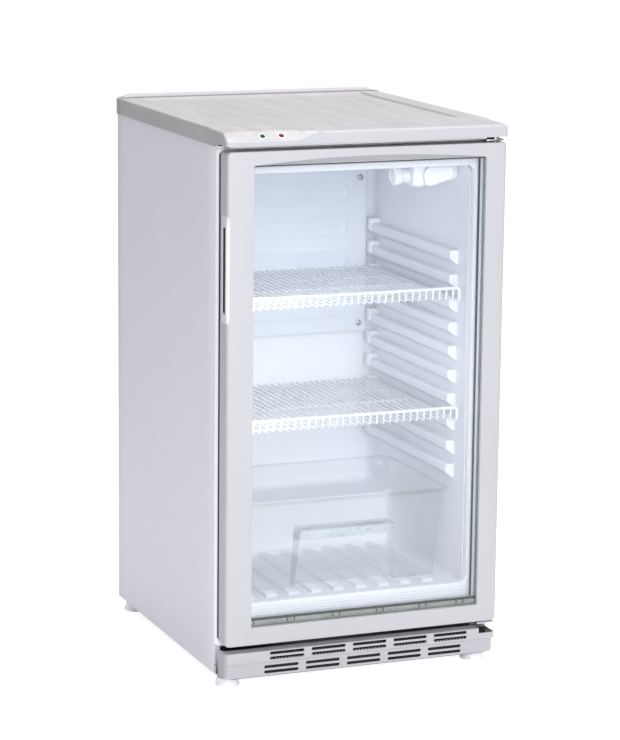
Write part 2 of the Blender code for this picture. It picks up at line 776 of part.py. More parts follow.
def door_handle(plastic):
    """The pull set into the door's left edge: a cup with a finger slot behind its front lip."""
    handle = box("door_handle", HANDLE_X, (0.0, 0.033), HANDLE_Z, plastic, 0.0015)
    slot_x = (HANDLE_X[0] - 0.01, -0.2315)
    cut(handle, box("handle_slot", slot_x, HANDLE_SLOT_DEPTHS, HANDLE_SLOT_Z))


def hinge_bushes(plastic):
    """The plastic bushes pressed into the door, one round each pin."""
    inner = PIN_RADIUS + 0.0004
    outline = [(inner, BUSH_HEIGHT), (BUSH_RADIUS, BUSH_HEIGHT), (BUSH_RADIUS, 0), (inner, 0)]
    for name, up in (("top", DOOR_TOP - BUSH_HEIGHT), ("bottom", DOOR_BOTTOM)):
        bush = turned(name + "_hinge_bush", outline, plastic, closed=True)
        placed(bush, HINGE_X, HINGE_DEPTH, up)


# Hinges


def hinge_brackets(steel):
    hole_x = HINGE_X
    top_z = (FLANGE_TOP + GAP, FLANGE_TOP + GAP + 0.003)
    top = box("top_hinge_bracket", (0.216, 0.2480), (0.009, 0.0560), top_z, steel)
    cut(top, placed(rod("top_bracket_hole", PIN_RADIUS + GAP, 0.02), hole_x, HINGE_DEPTH, 0.905))
    plate_z = (0.0725, 0.0755)
    plate_x = (0.218, 0.2495)
    bottom = box("bottom_hinge_bracket", plate_x, (0.008, 0.0417), plate_z, steel)
    join(bottom, box("bottom_bracket_leg", plate_x, (0.0387, 0.0417), (0.045, 0.0740)))
    hole = placed(rod("bottom_bracket_hole", PIN_RADIUS + GAP, 0.02), hole_x, HINGE_DEPTH, 0.065)
    cut(bottom, hole)


def hinge_pins(steel):
    """The top pin hangs from its bracket; the bottom pin's collar carries the door."""
    top_plate = FLANGE_TOP + GAP + 0.003
    top = [
        (0, top_plate + 0.0023),
        (0.006, top_plate + 0.0023),
        (0.006, top_plate + GAP),
        (PIN_RADIUS, top_plate + GAP),
        (PIN_RADIUS, DOOR_TOP - 0.009),
        (0, DOOR_TOP - 0.009),
    ]
    placed(turned("top_hinge_pin", top, steel), HINGE_X, HINGE_DEPTH, 0)
    bottom = [
        (0, DOOR_BOTTOM + 0.009),
        (PIN_RADIUS, DOOR_BOTTOM + 0.009),
        (PIN_RADIUS, DOOR_BOTTOM - GAP),
        (0.007, DOOR_BOTTOM - GAP),
        (0.007, 0.0755 + GAP),
        (PIN_RADIUS, 0.0755 + GAP),
        (PIN_RADIUS, 0.0725 - GAP),
        (0.006, 0.0725 - GAP),
        (0.006, 0.0705),
        (0, 0.0705),
    ]
    placed(turned("bottom_hinge_pin", bottom, steel), HINGE_X, HINGE_DEPTH, 0)


# Front grille and feet


def grille_slots():
    slots = []
    tiers = ((SLOT_FIRST_UPPER, SLOT_ROWS_UPPER), (SLOT_FIRST_LOWER, SLOT_ROWS_LOWER))
    for first, rows in tiers:
        for row in rows:
            for index in range(SLOT_COUNT):
                left = first + index * SLOT_PITCH
                across = (left, left + SLOT_LENGTH)
                slots.append((across, (-0.01, 0.018), span(row, SLOT_HEIGHT)))
    return boxes("grille_slots", slots)


def vent_grille(plastic):
    """The two-tier kick plate under the door, with rows of air slots and a notch at the hinge."""
    half = GRILLE_SHEET / 2
    line = (
        (0.022, GRILLE_TOP - half),
        (half, GRILLE_TOP - half),
        (half, GRILLE_STEP - half),
        (half + GRILLE_SETBACK, GRILLE_STEP - half),
        (half + GRILLE_SETBACK, GRILLE_BOTTOM),
    )
    across = (-WIDTH / 2 + GAP, WIDTH / 2 - GAP)
    grille = bent_sheet("vent_grille", line, across, GRILLE_SHEET, plastic)
    notch = box("grille_notch", (0.2175, 0.30), (-0.01, 0.05), (0.0580, 0.08))
    cut(grille, grille_slots(), notch)


def levelling_feet(plastic):
    """Four round feet that screw into the base."""
    profile = [
        (0, FOOT_HEIGHT - GAP),
        (0.006, FOOT_HEIGHT - GAP),
        (0.006, 0.0155),
        (FOOT_RADIUS - 0.0035, 0.0150),
        (FOOT_RADIUS - 0.0015, 0.0030),
        (FOOT_RADIUS, 0.0020),
        (FOOT_RADIUS, 0),
        (0, 0),
    ]
    for row, back in FOOT_DEPTHS.items():
        for side, sign in (("left", -1), ("right", 1)):
            foot = turned("foot_%s_%s" % (row, side), profile, plastic, steps=28)
            placed(foot, sign * FOOT_X, back, 0)


# Machinery


def compressor_group(materials):
    low, high = COMPRESSOR_Z
    deck = FOOT_HEIGHT + 0.002 + GAP
    mount_x = span(COMPRESSOR_X, 0.200)
    box("compressor_mount", mount_x, (0.432, 0.543), (deck, low - GAP), materials["zinc_steel"])
    seam = (low + high) / 2
    radius = COMPRESSOR_RADIUS
    profile = [(0, high)]
    for turn in (20, 40, 60, 80):
        bend = math.radians(turn)
        profile.append((radius * math.sin(bend), high - 0.030 * (1 - math.cos(bend))))
    profile += [
        (radius, seam + 0.004),
        (radius + 0.003, seam + 0.002),
        (radius + 0.003, seam - 0.002),
        (radius - 0.002, seam - 0.004),
        (radius - 0.006, low + 0.012),
        (radius - 0.020, low + 0.001),
        (0, low + 0.001),
    ]
    shell = turned("compressor", profile, materials["black_enamel"], steps=28)
    placed(shell, COMPRESSOR_X, COMPRESSOR_DEPTH, 0)
    legs = box("compressor_legs", span(COMPRESSOR_X, 0.180), (0.445, 0.529), (low, low + 0.003))
    join(shell, legs)
    side = COMPRESSOR_X + radius + 0.003 + GAP
    relay_z = (low + 0.040, low + 0.095)
    relay = materials["black_plastic"]
    box("compressor_relay_box", (side, side + 0.034), (0.462, 0.512), relay_z, relay, 0.003)


def evaporation_pan(plastic):
    """The open tray over the compressor, where melt water dries off."""
    across = span(COMPRESSOR_X, 0.110)
    up = (COMPRESSOR_Z[1] + GAP, COMPRESSOR_Z[1] + 0.020)
    pan = box("evaporation_pan", across, (0.440, 0.540), up, plastic)
    wall = 0.002
    inside = (grown(across, -wall), (0.440 + wall, 0.540 - wall), (up[0] + wall, up[1] + 0.01))
    cut(pan, box("pan_inside", *inside))


def drain_tube(plastic):
    top = COMPARTMENT_ROOF - SHEET / 2 - GAP
    low = COMPRESSOR_Z[1] + 0.008
    outline = [(0.0045, top), (0.0065, top), (0.0065, low), (0.0045, low)]
    drain = turned("drain_tube", outline, plastic, steps=16, closed=True)
    placed(drain, COMPRESSOR_X, 0.470, 0)


def condenser(materials):
    """The serpentine tube on the back, and the two strips that hold it off the rear panel."""
    step = (CONDENSER_Z[1] - CONDENSER_Z[0]) / (CONDENSER_PASSES - 1)
    corners = []
    for index in range(CONDENSER_PASSES):
        height = CONDENSER_Z[1] - index * step
        start = -CONDENSER_X if index % 2 == 0 else CONDENSER_X
        corners.append((start, CONDENSER_DEPTH, height))
        corners.append((-start, CONDENSER_DEPTH, height))
    path = rounded_path(corners, step * 0.42, steps=3)
    tube("condenser_coil", path, CONDENSER_TUBE, materials["black_enamel"])
    front = CONDENSER_DEPTH - CONDENSER_TUBE - GAP
    up = (CONDENSER_Z[0] - 0.015, CONDENSER_Z[1] + 0.015)
    for name, sign in (("left", -1), ("right", 1)):
        across = sorted((sign * 0.150, sign * 0.164))
        back = (REAR_PANEL_BACK + GAP, front)
        box("condenser_bracket_" + name, across, back, up, materials["black_enamel"])


def refrigerant_lines(copper):
    """The drier and the three copper lines of the machine compartment."""
    drier = [
        (0, 0.150),
        (0.003, 0.150),
        (0.003, 0.142),
        (0.0095, 0.134),
        (0.0095, 0.072),
        (0.003, 0.064),
        (0.003, 0.056),
        (0, 0.056),
    ]
    placed(turned("filter_drier", drier, copper, steps=20), 0.150, 0.470, 0)
    side = COMPRESSOR_X - COMPRESSOR_RADIUS - 0.003 - GAP
    level = COMPRESSOR_Z[0] + 0.050
    roof = COMPARTMENT_ROOF - SHEET / 2 - GAP
    suction = [(side, 0.480, level), (side - 0.030, 0.480, level), (side - 0.030, 0.480, roof)]
    tube("suction_tube", rounded_path(suction, 0.010), 0.004, copper)
    end = CONDENSER_Z[0] - CONDENSER_TUBE - GAP
    run = side - 0.055
    discharge = [
        (side, 0.500, level - 0.010),
        (run, 0.500, level - 0.010),
        (run, 0.5505, level - 0.010),
        (run, 0.5505, end),
    ]
    tube("discharge_tube", rounded_path(discharge, 0.010), 0.003, copper)
    capillary = [(0.150, 0.470, 0.1503), (0.150, 0.470, 0.165), (0.120, 0.450, 0.165)]
    capillary.append((0.120, 0.450, roof))
    tube("capillary_tube", rounded_path(capillary, 0.005), 0.0012, copper)


def build():
    clear_scene()
    collection(PARTS)
    collection(CUTTERS)
    materials = make_surfaces()
    side_panels(materials["cabinet_paint"])
    rear_panel(materials["cabinet_paint"])
    underside_panel(materials["zinc_steel"])
    base_pan(materials["zinc_steel"])
    rear_crossbar(materials["zinc_steel"])
    cord_gland(materials["black_plastic"])
    top_cover(materials["lid_plastic"])
    indicators(materials)
    front_frame(materials["white_enamel"])
    breaker_frame(materials["inner_plastic"])
    inner_liner(materials["inner_plastic"])
    foam_insulation(materials["foam"])
    evaporator(materials["evaporator_paint"], materials["zinc_steel"])
    lamp_unit(materials)
    thermostat_knob(materials["diffuser_plastic"])
    for name, rail in SHELF_RAILS.items():
        wire_shelf(name, rail, materials["shelf_wire"])
    basket(materials["clear_plastic"])
    door_frame(materials["door_plastic"])
    door_glazing(materials["pane_glass"], materials["spacer_aluminium"], materials["inner_plastic"])
    door_gasket(materials["gasket_rubber"])
    door_handle(materials["handle_plastic"])
    hinge_bushes(materials["black_plastic"])
    hinge_brackets(materials["zinc_steel"])
    hinge_pins(materials["zinc_steel"])
    vent_grille(materials["grille_plastic"])
    levelling_feet(materials["foot_plastic"])
    compressor_group(materials)
    evaporation_pan(materials["black_plastic"])
    drain_tube(materials["diffuser_plastic"])
    condenser(materials)
    refrigerant_lines(materials["copper"])


build()
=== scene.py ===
import math

import bmesh
import bpy
from mathutils import Matrix, Vector


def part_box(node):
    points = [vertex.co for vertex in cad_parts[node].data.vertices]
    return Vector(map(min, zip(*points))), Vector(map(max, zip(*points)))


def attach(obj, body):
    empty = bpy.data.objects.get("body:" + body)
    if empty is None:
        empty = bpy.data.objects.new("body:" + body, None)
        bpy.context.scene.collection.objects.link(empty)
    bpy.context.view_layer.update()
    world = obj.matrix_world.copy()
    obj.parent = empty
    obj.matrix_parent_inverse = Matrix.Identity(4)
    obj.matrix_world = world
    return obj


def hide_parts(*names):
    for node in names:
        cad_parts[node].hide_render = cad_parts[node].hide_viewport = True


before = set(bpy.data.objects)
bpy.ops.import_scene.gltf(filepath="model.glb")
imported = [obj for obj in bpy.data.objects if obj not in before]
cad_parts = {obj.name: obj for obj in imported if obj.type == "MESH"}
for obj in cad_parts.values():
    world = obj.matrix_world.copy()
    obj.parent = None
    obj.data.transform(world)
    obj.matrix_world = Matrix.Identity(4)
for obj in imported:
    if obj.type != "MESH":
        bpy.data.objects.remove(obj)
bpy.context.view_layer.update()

# Places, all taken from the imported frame

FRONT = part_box("door_frame")[0].y
LID_LOW, LID_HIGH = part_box("top_cover")
DOOR_LOW, DOOR_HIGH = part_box("door_frame")


def deep(d):
    """A depth counted from the door's front face, as a Y coordinate."""
    return FRONT + d


def at(x, d, z):
    return Vector((x, deep(d), z))


def spans(name):
    """A node's box: its low and high corners, and its near and far depths."""
    low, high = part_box(name)
    return low, high, low.y - FRONT, high.y - FRONT


def middle_of(name):
    low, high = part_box(name)
    return (low + high) / 2


def grown(limits, out):
    """Limits moved outwards, by one number at both ends or by a pair of them."""
    low, high = out if isinstance(out, tuple) else (out, out)
    return (limits[0] - low, limits[1] + high)


def smooth(t):
    t = min(max(t, 0.0), 1.0)
    return t * t * (3 - 2 * t)


def mix(a, b, t):
    return a + (b - a) * t


def rgb(red, green, blue):
    """A colour given in 0 to 255 screen values, as linear light."""
    out = []
    for value in (red, green, blue):
        value = value / 255
        out.append(value / 12.92 if value <= 0.04045 else ((value + 0.055) / 1.055) ** 2.4)
    return tuple(out)


# Materials

LOOKS = {}


class Look:
    """A node material in the making, with its Principled shader and object coordinates."""

    def __init__(self, name):
        self.made = LOOKS[name] = bpy.data.materials.new(name)
        self.made.use_nodes = True
        self.tree = self.made.node_tree
        self.shader = self.tree.nodes["Principled BSDF"]
        self.coords = self.add("ShaderNodeTexCoord").outputs["Object"]

    def add(self, kind, **settings):
        node = self.tree.nodes.new(kind)
        for key, value in settings.items():
            setattr(node, key, value)
        return node

    def link(self, source, target):
        self.tree.links.new(source, target)

    def set(self, **values):
        for key, value in values.items():
            self.shader.inputs[key.replace("_", " ")].default_value = value

    def feed(self, socket, source):
        self.link(source, self.shader.inputs[socket])

    def stretched(self, scale):
        node = self.add("ShaderNodeMapping")
        node.inputs["Scale"].default_value = scale
        self.link(self.coords, node.inputs["Vector"])
        return node.outputs["Vector"]

    def noise(self, scale, detail=2.0, rough=0.5, vector=None):
        node = self.add("ShaderNodeTexNoise")
        node.inputs["Scale"].default_value = scale
        node.inputs["Detail"].default_value = detail
        node.inputs["Roughness"].default_value = rough
        self.link(vector or self.coords, node.inputs["Vector"])
        return node.outputs["Fac"]

    def ranged(self, value, low=0.3, high=0.7, out_low=0.0, out_high=1.0):
        node = self.add("ShaderNodeMapRange")
        for key, number in zip(("From Min", "From Max", "To Min", "To Max"),
                               (low, high, out_low, out_high)):
            node.inputs[key].default_value = number
        self.link(value, node.inputs["Value"])
        return node.outputs["Result"]

    def maths(self, operation, first, second):
        node = self.add("ShaderNodeMath", operation=operation)
        for socket, value in zip(node.inputs, (first, second)):
            if isinstance(value, (int, float)):
                socket.default_value = value
            else:
                self.link(value, socket)
        return node.outputs[0]

    def blend(self, factor, first, second, mode="MIX"):
        node = self.add("ShaderNodeMix", data_type="RGBA", blend_type=mode)
        if isinstance(factor, (int, float)):
            node.inputs[0].default_value = factor
        else:
            self.link(factor, node.inputs[0])
        for socket, value in ((node.inputs[6], first), (node.inputs[7], second)):
            if isinstance(value, tuple):
                socket.default_value = (*value, 1.0)
            else:
                self.link(value, socket)
        return node.outputs[2]

    def mixed(self, share, first, second):
        """One shader node laid over another."""
        node = self.add("ShaderNodeMixShader")
        for socket, source in zip(node.inputs, (share, first.outputs[0], second.outputs[0])):
            self.link(source, socket)
        return node

    def bump(self, height, distance, strength=1.0, normal=None):
        node = self.add("ShaderNodeBump")
        node.inputs["Strength"].default_value = strength
        node.inputs["Distance"].default_value = distance
        self.link(height, node.inputs["Height"])
        if normal is not None:
            self.link(normal, node.inputs["Normal"])
        return node.outputs["Normal"]

    def edges(self, radius, low=0.03, high=0.25):
        """0 on flat stretches and 1 along edges, from a rounded normal against the true one."""
        rounded = self.add("ShaderNodeBevel", samples=4)
        rounded.inputs["Radius"].default_value = radius
        true = self.add("ShaderNodeNewGeometry").outputs["Normal"]
        dot = self.add("ShaderNodeVectorMath", operation="DOT_PRODUCT")
        self.link(rounded.outputs["Normal"], dot.inputs[0])
        self.link(true, dot.inputs[1])
        return self.ranged(self.maths("SUBTRACT", 1.0, dot.outputs["Value"]), low, high)


def plain(name, colour, rough, tone=0.03, tone_scale=5.0, spread=0.06, grain=900.0, relief=0.00004,
          wave=0.0, worn=None, wear=0.35, **values):
    """A solid finish: broad tone changes, a fine grain, uneven gloss and, if asked, worn edges."""
    look = Look(name)
    broad = look.noise(tone_scale, 4.0, 0.55)
    fine = look.noise(grain, 2.0, 0.6)
    middle = look.noise(grain * 0.08, 3.0, 0.5)
    dark = tuple(c * (1 - tone) for c in colour)
    light = tuple(min(c * (1 + tone), 1.0) for c in colour)
    tint = look.blend(look.ranged(broad), dark, light)
    speck = look.ranged(fine, 0.35, 0.65, 1 - tone * 0.6, 1 + tone * 0.3)
    speckled = look.add("ShaderNodeVectorMath", operation="SCALE")
    look.link(tint, speckled.inputs[0])
    look.link(speck, speckled.inputs["Scale"])
    tint = speckled.outputs["Vector"]
    if worn is not None:
        patchy = look.ranged(middle, 0.4, 0.65, 0.15, wear)
        tint = look.blend(look.maths("MULTIPLY", look.edges(0.0012), patchy), tint, worn)
    look.feed("Base Color", tint)
    patches = look.ranged(middle, 0.3, 0.7, -spread, spread)
    sheen = look.ranged(broad, 0.3, 0.7, rough - spread * 0.5, rough + spread * 0.5)
    look.feed("Roughness", look.maths("ADD", patches, sheen))
    normal = look.bump(fine, relief)
    if wave:
        normal = look.bump(look.noise(7.0, 1.0, 0.4), wave, 1.0, normal)
    look.feed("Normal", normal)
    look.set(**values)


def brushed(name, colour, rough, stretch, metal=1.0, **values):
    """Metal with fine lines along one direction and cloudy patches."""
    look = Look(name)
    lines = look.noise(60.0, 3.0, 0.6, look.stretched(stretch))
    cloud = look.noise(14.0, 4.0, 0.6)
    dark = tuple(c * 0.78 for c in colour)
    tint = look.blend(look.ranged(cloud), dark, colour)
    tint = look.blend(look.ranged(lines, 0.35, 0.65, 0.0, 0.25), tint, tuple(c * 0.6 for c in colour))
    look.feed("Base Color", tint)
    look.feed("Roughness", look.ranged(lines, 0.3, 0.7, rough - 0.08, rough + 0.12))
    look.feed("Normal", look.bump(lines, 0.00003))
    look.set(Metallic=metal, **values)


def clear(name, tint, haze, haze_colour, edge_haze, rough=0.04, smear=0.0):
    """Thin clear sheet: sight passes straight through, with a mirror film, haze and denser edges."""
    look = Look(name)
    look.tree.nodes.remove(look.shader)
    through = look.add("ShaderNodeBsdfTransparent")
    through.inputs["Color"].default_value = (*tint, 1.0)
    mirror = look.add("ShaderNodeBsdfGlossy")
    smudge = look.noise(18.0, 4.0, 0.6)
    look.link(look.ranged(smudge, 0.35, 0.7, rough, rough + 0.05 + smear), mirror.inputs["Roughness"])
    milk = look.add("ShaderNodeBsdfPrincipled")
    milk.inputs["Base Color"].default_value = (*haze_colour, 1.0)
    milk.inputs["Roughness"].default_value = 0.35
    facing = look.add("ShaderNodeLayerWeight")
    facing.inputs["Blend"].default_value = 0.5
    mirror_share = look.maths("POWER", facing.outputs["Facing"], 4.0)
    mirror_share = look.ranged(mirror_share, 0.0, 1.0, 0.035, 0.65)
    dense = look.ranged(facing.outputs["Facing"], 0.25, 1.0, 0.0, edge_haze)
    cloud = look.ranged(smudge, 0.3, 0.7, haze * 0.6, haze * 1.4)
    body = look.mixed(look.maths("ADD", dense, cloud), through, milk)
    film = look.mixed(mirror_share, body, mirror)
    output = [node for node in look.tree.nodes if node.type == "OUTPUT_MATERIAL"][0]
    look.link(film.outputs[0], output.inputs["Surface"])


def spacer_look():
    """Matt aluminium strip with a row of fine drying holes along its middle."""
    look = Look("spacer_aluminium")
    split = look.add("ShaderNodeSeparateXYZ")
    look.link(look.coords, split.inputs[0])
    rows = look.add("ShaderNodeTexVoronoi", feature="F1", distance="EUCLIDEAN")
    rows.inputs["Scale"].default_value = 300.0
    rows.inputs["Randomness"].default_value = 0.1
    look.link(look.coords, rows.inputs["Vector"])
    holes = look.ranged(rows.outputs["Distance"], 0.14, 0.22, 1.0, 0.0)
    band = look.maths("ABSOLUTE", look.maths("SUBTRACT", split.outputs["Y"], deep(0.016)), 0.0)
    pitted = look.maths("MULTIPLY", holes, look.ranged(band, 0.0018, 0.0024, 1.0, 0.0))
    cloud = look.noise(40.0, 3.0, 0.6)
    base = look.blend(look.ranged(cloud), rgb(126, 132, 129), rgb(150, 156, 152))
    look.feed("Base Color", look.blend(pitted, base, rgb(70, 76, 78)))
    look.feed("Roughness", look.ranged(cloud, 0.3, 0.7, 0.4, 0.55))
    look.feed("Normal", look.bump(pitted, -0.0002))
    look.set(Metallic=0.35)


def lid_look():
    """Grained moulding with a drift of tone, a cooler front band whose paleness is painted light, a painted
    highlight on the back rim and a painted shade line at the rim's foot.
    """
    look = Look("lid_plastic")
    grain = look.noise(1400.0, 3.0, 0.65)
    drift = look.noise(7.0, 4.0, 0.6, look.stretched((9.0, 0.8, 1.0)))
    broad = look.noise(3.0, 3.0, 0.5)
    colour = look.blend(look.ranged(drift), rgb(156, 153, 156), rgb(171, 168, 170))
    colour = look.blend(look.ranged(broad, 0.35, 0.65, 0.0, 0.35), colour, rgb(175, 172, 174))
    split = look.add("ShaderNodeSeparateXYZ")
    look.link(look.coords, split.inputs[0])
    # The front band is cooler in tone and a little paler; the paleness is painted light on the front face,
    # which faces the lamps.
    front = look.ranged(split.outputs["Y"], deep(0.003), deep(0.011), 1.0, 0.0)
    colour = look.blend(front, colour, rgb(170, 170, 175))
    # Painted highlight: the top of the raised back rim is made paler, as where it catches the light.
    behind = look.ranged(split.outputs["Y"], deep(0.549), deep(0.5497))
    rim = look.maths("MULTIPLY", behind, look.ranged(split.outputs["Z"], 0.9452, 0.9462))
    colour = look.blend(rim, colour, rgb(180, 178, 182))
    # Painted shade: a dark line along the foot of the back rim, where the rim's front face falls in shade.
    rim_foot_shade = look.maths("MULTIPLY", behind, look.ranged(split.outputs["Z"], 0.9444, 0.9454, 1.0, 0.0))
    before = look.ranged(split.outputs["Y"], deep(0.552), deep(0.553), 1.0, 0.0)
    colour = look.blend(look.maths("MULTIPLY", rim_foot_shade, before), colour, rgb(128, 124, 128))
    rubbed = look.maths("MULTIPLY", look.edges(0.0015), look.ranged(look.noise(60.0), 0.4, 0.65, 0.1, 0.4))
    look.feed("Base Color", look.blend(rubbed, colour, rgb(196, 194, 196)))
    look.feed("Roughness", look.ranged(look.noise(120.0, 3.0), 0.3, 0.7, 0.44, 0.58))
    look.feed("Normal", look.bump(grain, 0.00012))


plain("cabinet_paint", rgb(211, 211, 219), 0.4, 0.018, 3.0, 0.05, 700.0, 0.00006, 0.0008,
      rgb(246, 246, 250))
lid_look()
plain("white_enamel", rgb(243, 244, 248), 0.26, 0.012, 6.0, 0.04, 500.0, 0.00003, 0.0003,
      rgb(200, 200, 204), Coat_Weight=0.3)
plain("door_plastic", rgb(171, 171, 175), 0.36, 0.014, 4.0, 0.05, 1100.0, 0.00004, 0.0, rgb(212, 212, 216))
# Painted shade: a darker copy of the door plastic for the downward-facing slope of the arch above the
# window.
plain("door_painted_shade", rgb(140, 140, 144), 0.4, 0.014, 4.0, 0.05, 1100.0, 0.00004)
plain("inner_plastic", rgb(233, 235, 243), 0.34, 0.01, 9.0, 0.05, 600.0, 0.00003)
plain("grille_plastic", rgb(167, 166, 171), 0.42, 0.02, 9.0, 0.06, 1300.0, 0.00008, 0.0, rgb(214, 214, 218))
plain("handle_plastic", rgb(200, 199, 203), 0.34, 0.02, 12.0, 0.06, 1200.0, 0.00005, 0.0,
      rgb(220, 218, 222))
plain("gasket_rubber", rgb(15, 15, 17), 0.7, 0.12, 30.0, 0.08, 900.0, 0.00008)
clear("pane_glass", (0.968, 0.976, 0.978), 0.01, rgb(232, 238, 242), 0.0, 0.01, 0.02)
spacer_look()
plain("shelf_wire", rgb(240, 243, 247), 0.32, 0.02, 25.0, 0.07, 500.0, 0.00012, Coat_Weight=0.25)
clear("clear_plastic", (0.985, 0.992, 0.996), 0.02, rgb(246, 250, 255), 0.22, 0.04, 0.04)
clear("frosted_plastic", (0.95, 0.97, 0.985), 0.22, rgb(236, 244, 252), 0.25, 0.2, 0.1)
plain("diffuser_plastic", rgb(240, 243, 246), 0.24, 0.012, 20.0, 0.05, 500.0, 0.00003,
      Subsurface_Weight=0.25, Subsurface_Radius=(0.01, 0.01, 0.01))
plain("evaporator_paint", rgb(220, 224, 235), 0.34, 0.02, 8.0, 0.06, 500.0, 0.00005, 0.0004,
      rgb(190, 196, 202))
plain("foot_plastic", rgb(236, 238, 243), 0.3, 0.03, 40.0, 0.08, 700.0, 0.00006, 0.0, rgb(200, 202, 208),
      Subsurface_Weight=0.3, Subsurface_Radius=(0.004, 0.004, 0.004))
plain("green_lens", rgb(10, 66, 44), 0.42, 0.2, 300.0, 0.04, 900.0, 0.00002, Specular_IOR_Level=0.3)
plain("red_lens", rgb(116, 8, 28), 0.42, 0.2, 300.0, 0.04, 900.0, 0.00002, Specular_IOR_Level=0.3)
brushed("zinc_steel", rgb(196, 198, 202), 0.36, (1.0, 12.0, 12.0))
plain("black_enamel", rgb(32, 33, 35), 0.34, 0.15, 30.0, 0.08, 500.0, 0.00012, 0.0, rgb(96, 96, 98), 0.5,
      Coat_Weight=0.2)
plain("black_plastic", rgb(38, 38, 41), 0.55, 0.12, 40.0, 0.08, 1200.0, 0.0001, 0.0, rgb(84, 84, 88))
brushed("copper", rgb(214, 140, 104), 0.3, (6.0, 6.0, 1.0))
plain("foam", rgb(226, 208, 160), 0.9, 0.12, 60.0, 0.05, 900.0, 0.0008)
# Near-black finish: painted shade in the hand-hold slot and behind the grille slots, and the dark bead and
# ticks along the glazing spacer.
plain("dark_opening", rgb(16, 16, 18), 0.7, 0.2, 60.0, 0.05, 900.0, 0.00008)


# Building


def basis(direction):
    along = Vector(direction).normalized()
    side = along.orthogonal().normalized()
    return side, along.cross(side), along


def fillet(before, here, after, radius, steps):
    """The arc that rounds one corner of a path."""
    towards, away = (before - here).normalized(), (after - here).normalized()
    half = towards.angle(away) / 2
    reach = radius / math.tan(half)
    centre = here + (towards + away).normalized() * radius / math.sin(half)
    start = (here + towards * reach - centre).normalized()
    end = (here + away * reach - centre).normalized()
    return [centre + radius * start.slerp(end, step / steps) for step in range(steps + 1)]


def circle(centre, side, up, radius, steps, flutes=0, flute=0.0):
    """Points round a circle, whose edge may be fluted."""
    ring = []
    for step in range(steps):
        turn = 2 * math.pi * step / steps
        reach = radius * (1 + flute * math.cos(flutes * turn)) if flutes else radius
        ring.append(centre + reach * (side * math.cos(turn) + up * math.sin(turn)))
    return ring


def rounded_path(corners, radius, steps=5, loop=False):
    """A path with its corners rounded: straight stretches joined by arcs."""
    points = [Vector(corner) for corner in corners]
    path = [] if loop else [points[0]]
    count = len(points)
    for index in range(0 if loop else 1, count if loop else count - 1):
        path += fillet(points[index - 1], points[index], points[(index + 1) % count], radius, steps)
    return path if loop else path + [points[-1]]


def rect_ring(x, z, radius, d, corner=5, side=1):
    """Points round an upright rectangle with rounded corners, at one depth."""
    points = []
    corners = ((x[1], z[1], 0), (x[0], z[1], 90), (x[0], z[0], 180), (x[1], z[0], 270))
    for number, (cx, cz, start) in enumerate(corners):
        middle_x = cx - radius if number in (0, 3) else cx + radius
        middle_z = cz - radius if number in (0, 1) else cz + radius
        arc = []
        for step in range(corner + 1):
            turn = math.radians(start + 90 * step / corner)
            arc.append(at(middle_x + radius * math.cos(turn), d, middle_z + radius * math.sin(turn)))
        points.append(arc)
    ring = []
    for number, arc in enumerate(points):
        ring += arc
        after = points[(number + 1) % 4][0]
        for step in range(1, side):
            ring.append(arc[-1].lerp(after, step / side))
    return ring


def rings_of(x, z, rows):
    """Rounded rectangles about the same limits: growth in X, growth in Z, radius and depth of each."""
    return [rect_ring(grown(x, out_x), grown(z, out_z), radius, d) for out_x, out_z, radius, d in rows]


def even_rings(x, z, radius, rows):
    """The same for a constant radius and a growth alike on all sides."""
    return rings_of(x, z, [(out, out, radius, d) for out, d in rows])


def grid(low, high, count_x, count_z, depth):
    """Rows of points over an upright rectangle, with the depth of each from a function of X and Z."""
    rows = []
    for row in range(count_z + 1):
        z = mix(low.z, high.z, row / count_z)
        line = [mix(low.x, high.x, column / count_x) for column in range(count_x + 1)]
        rows.append([at(x, depth(x, z), z) for x in line])
    return rows


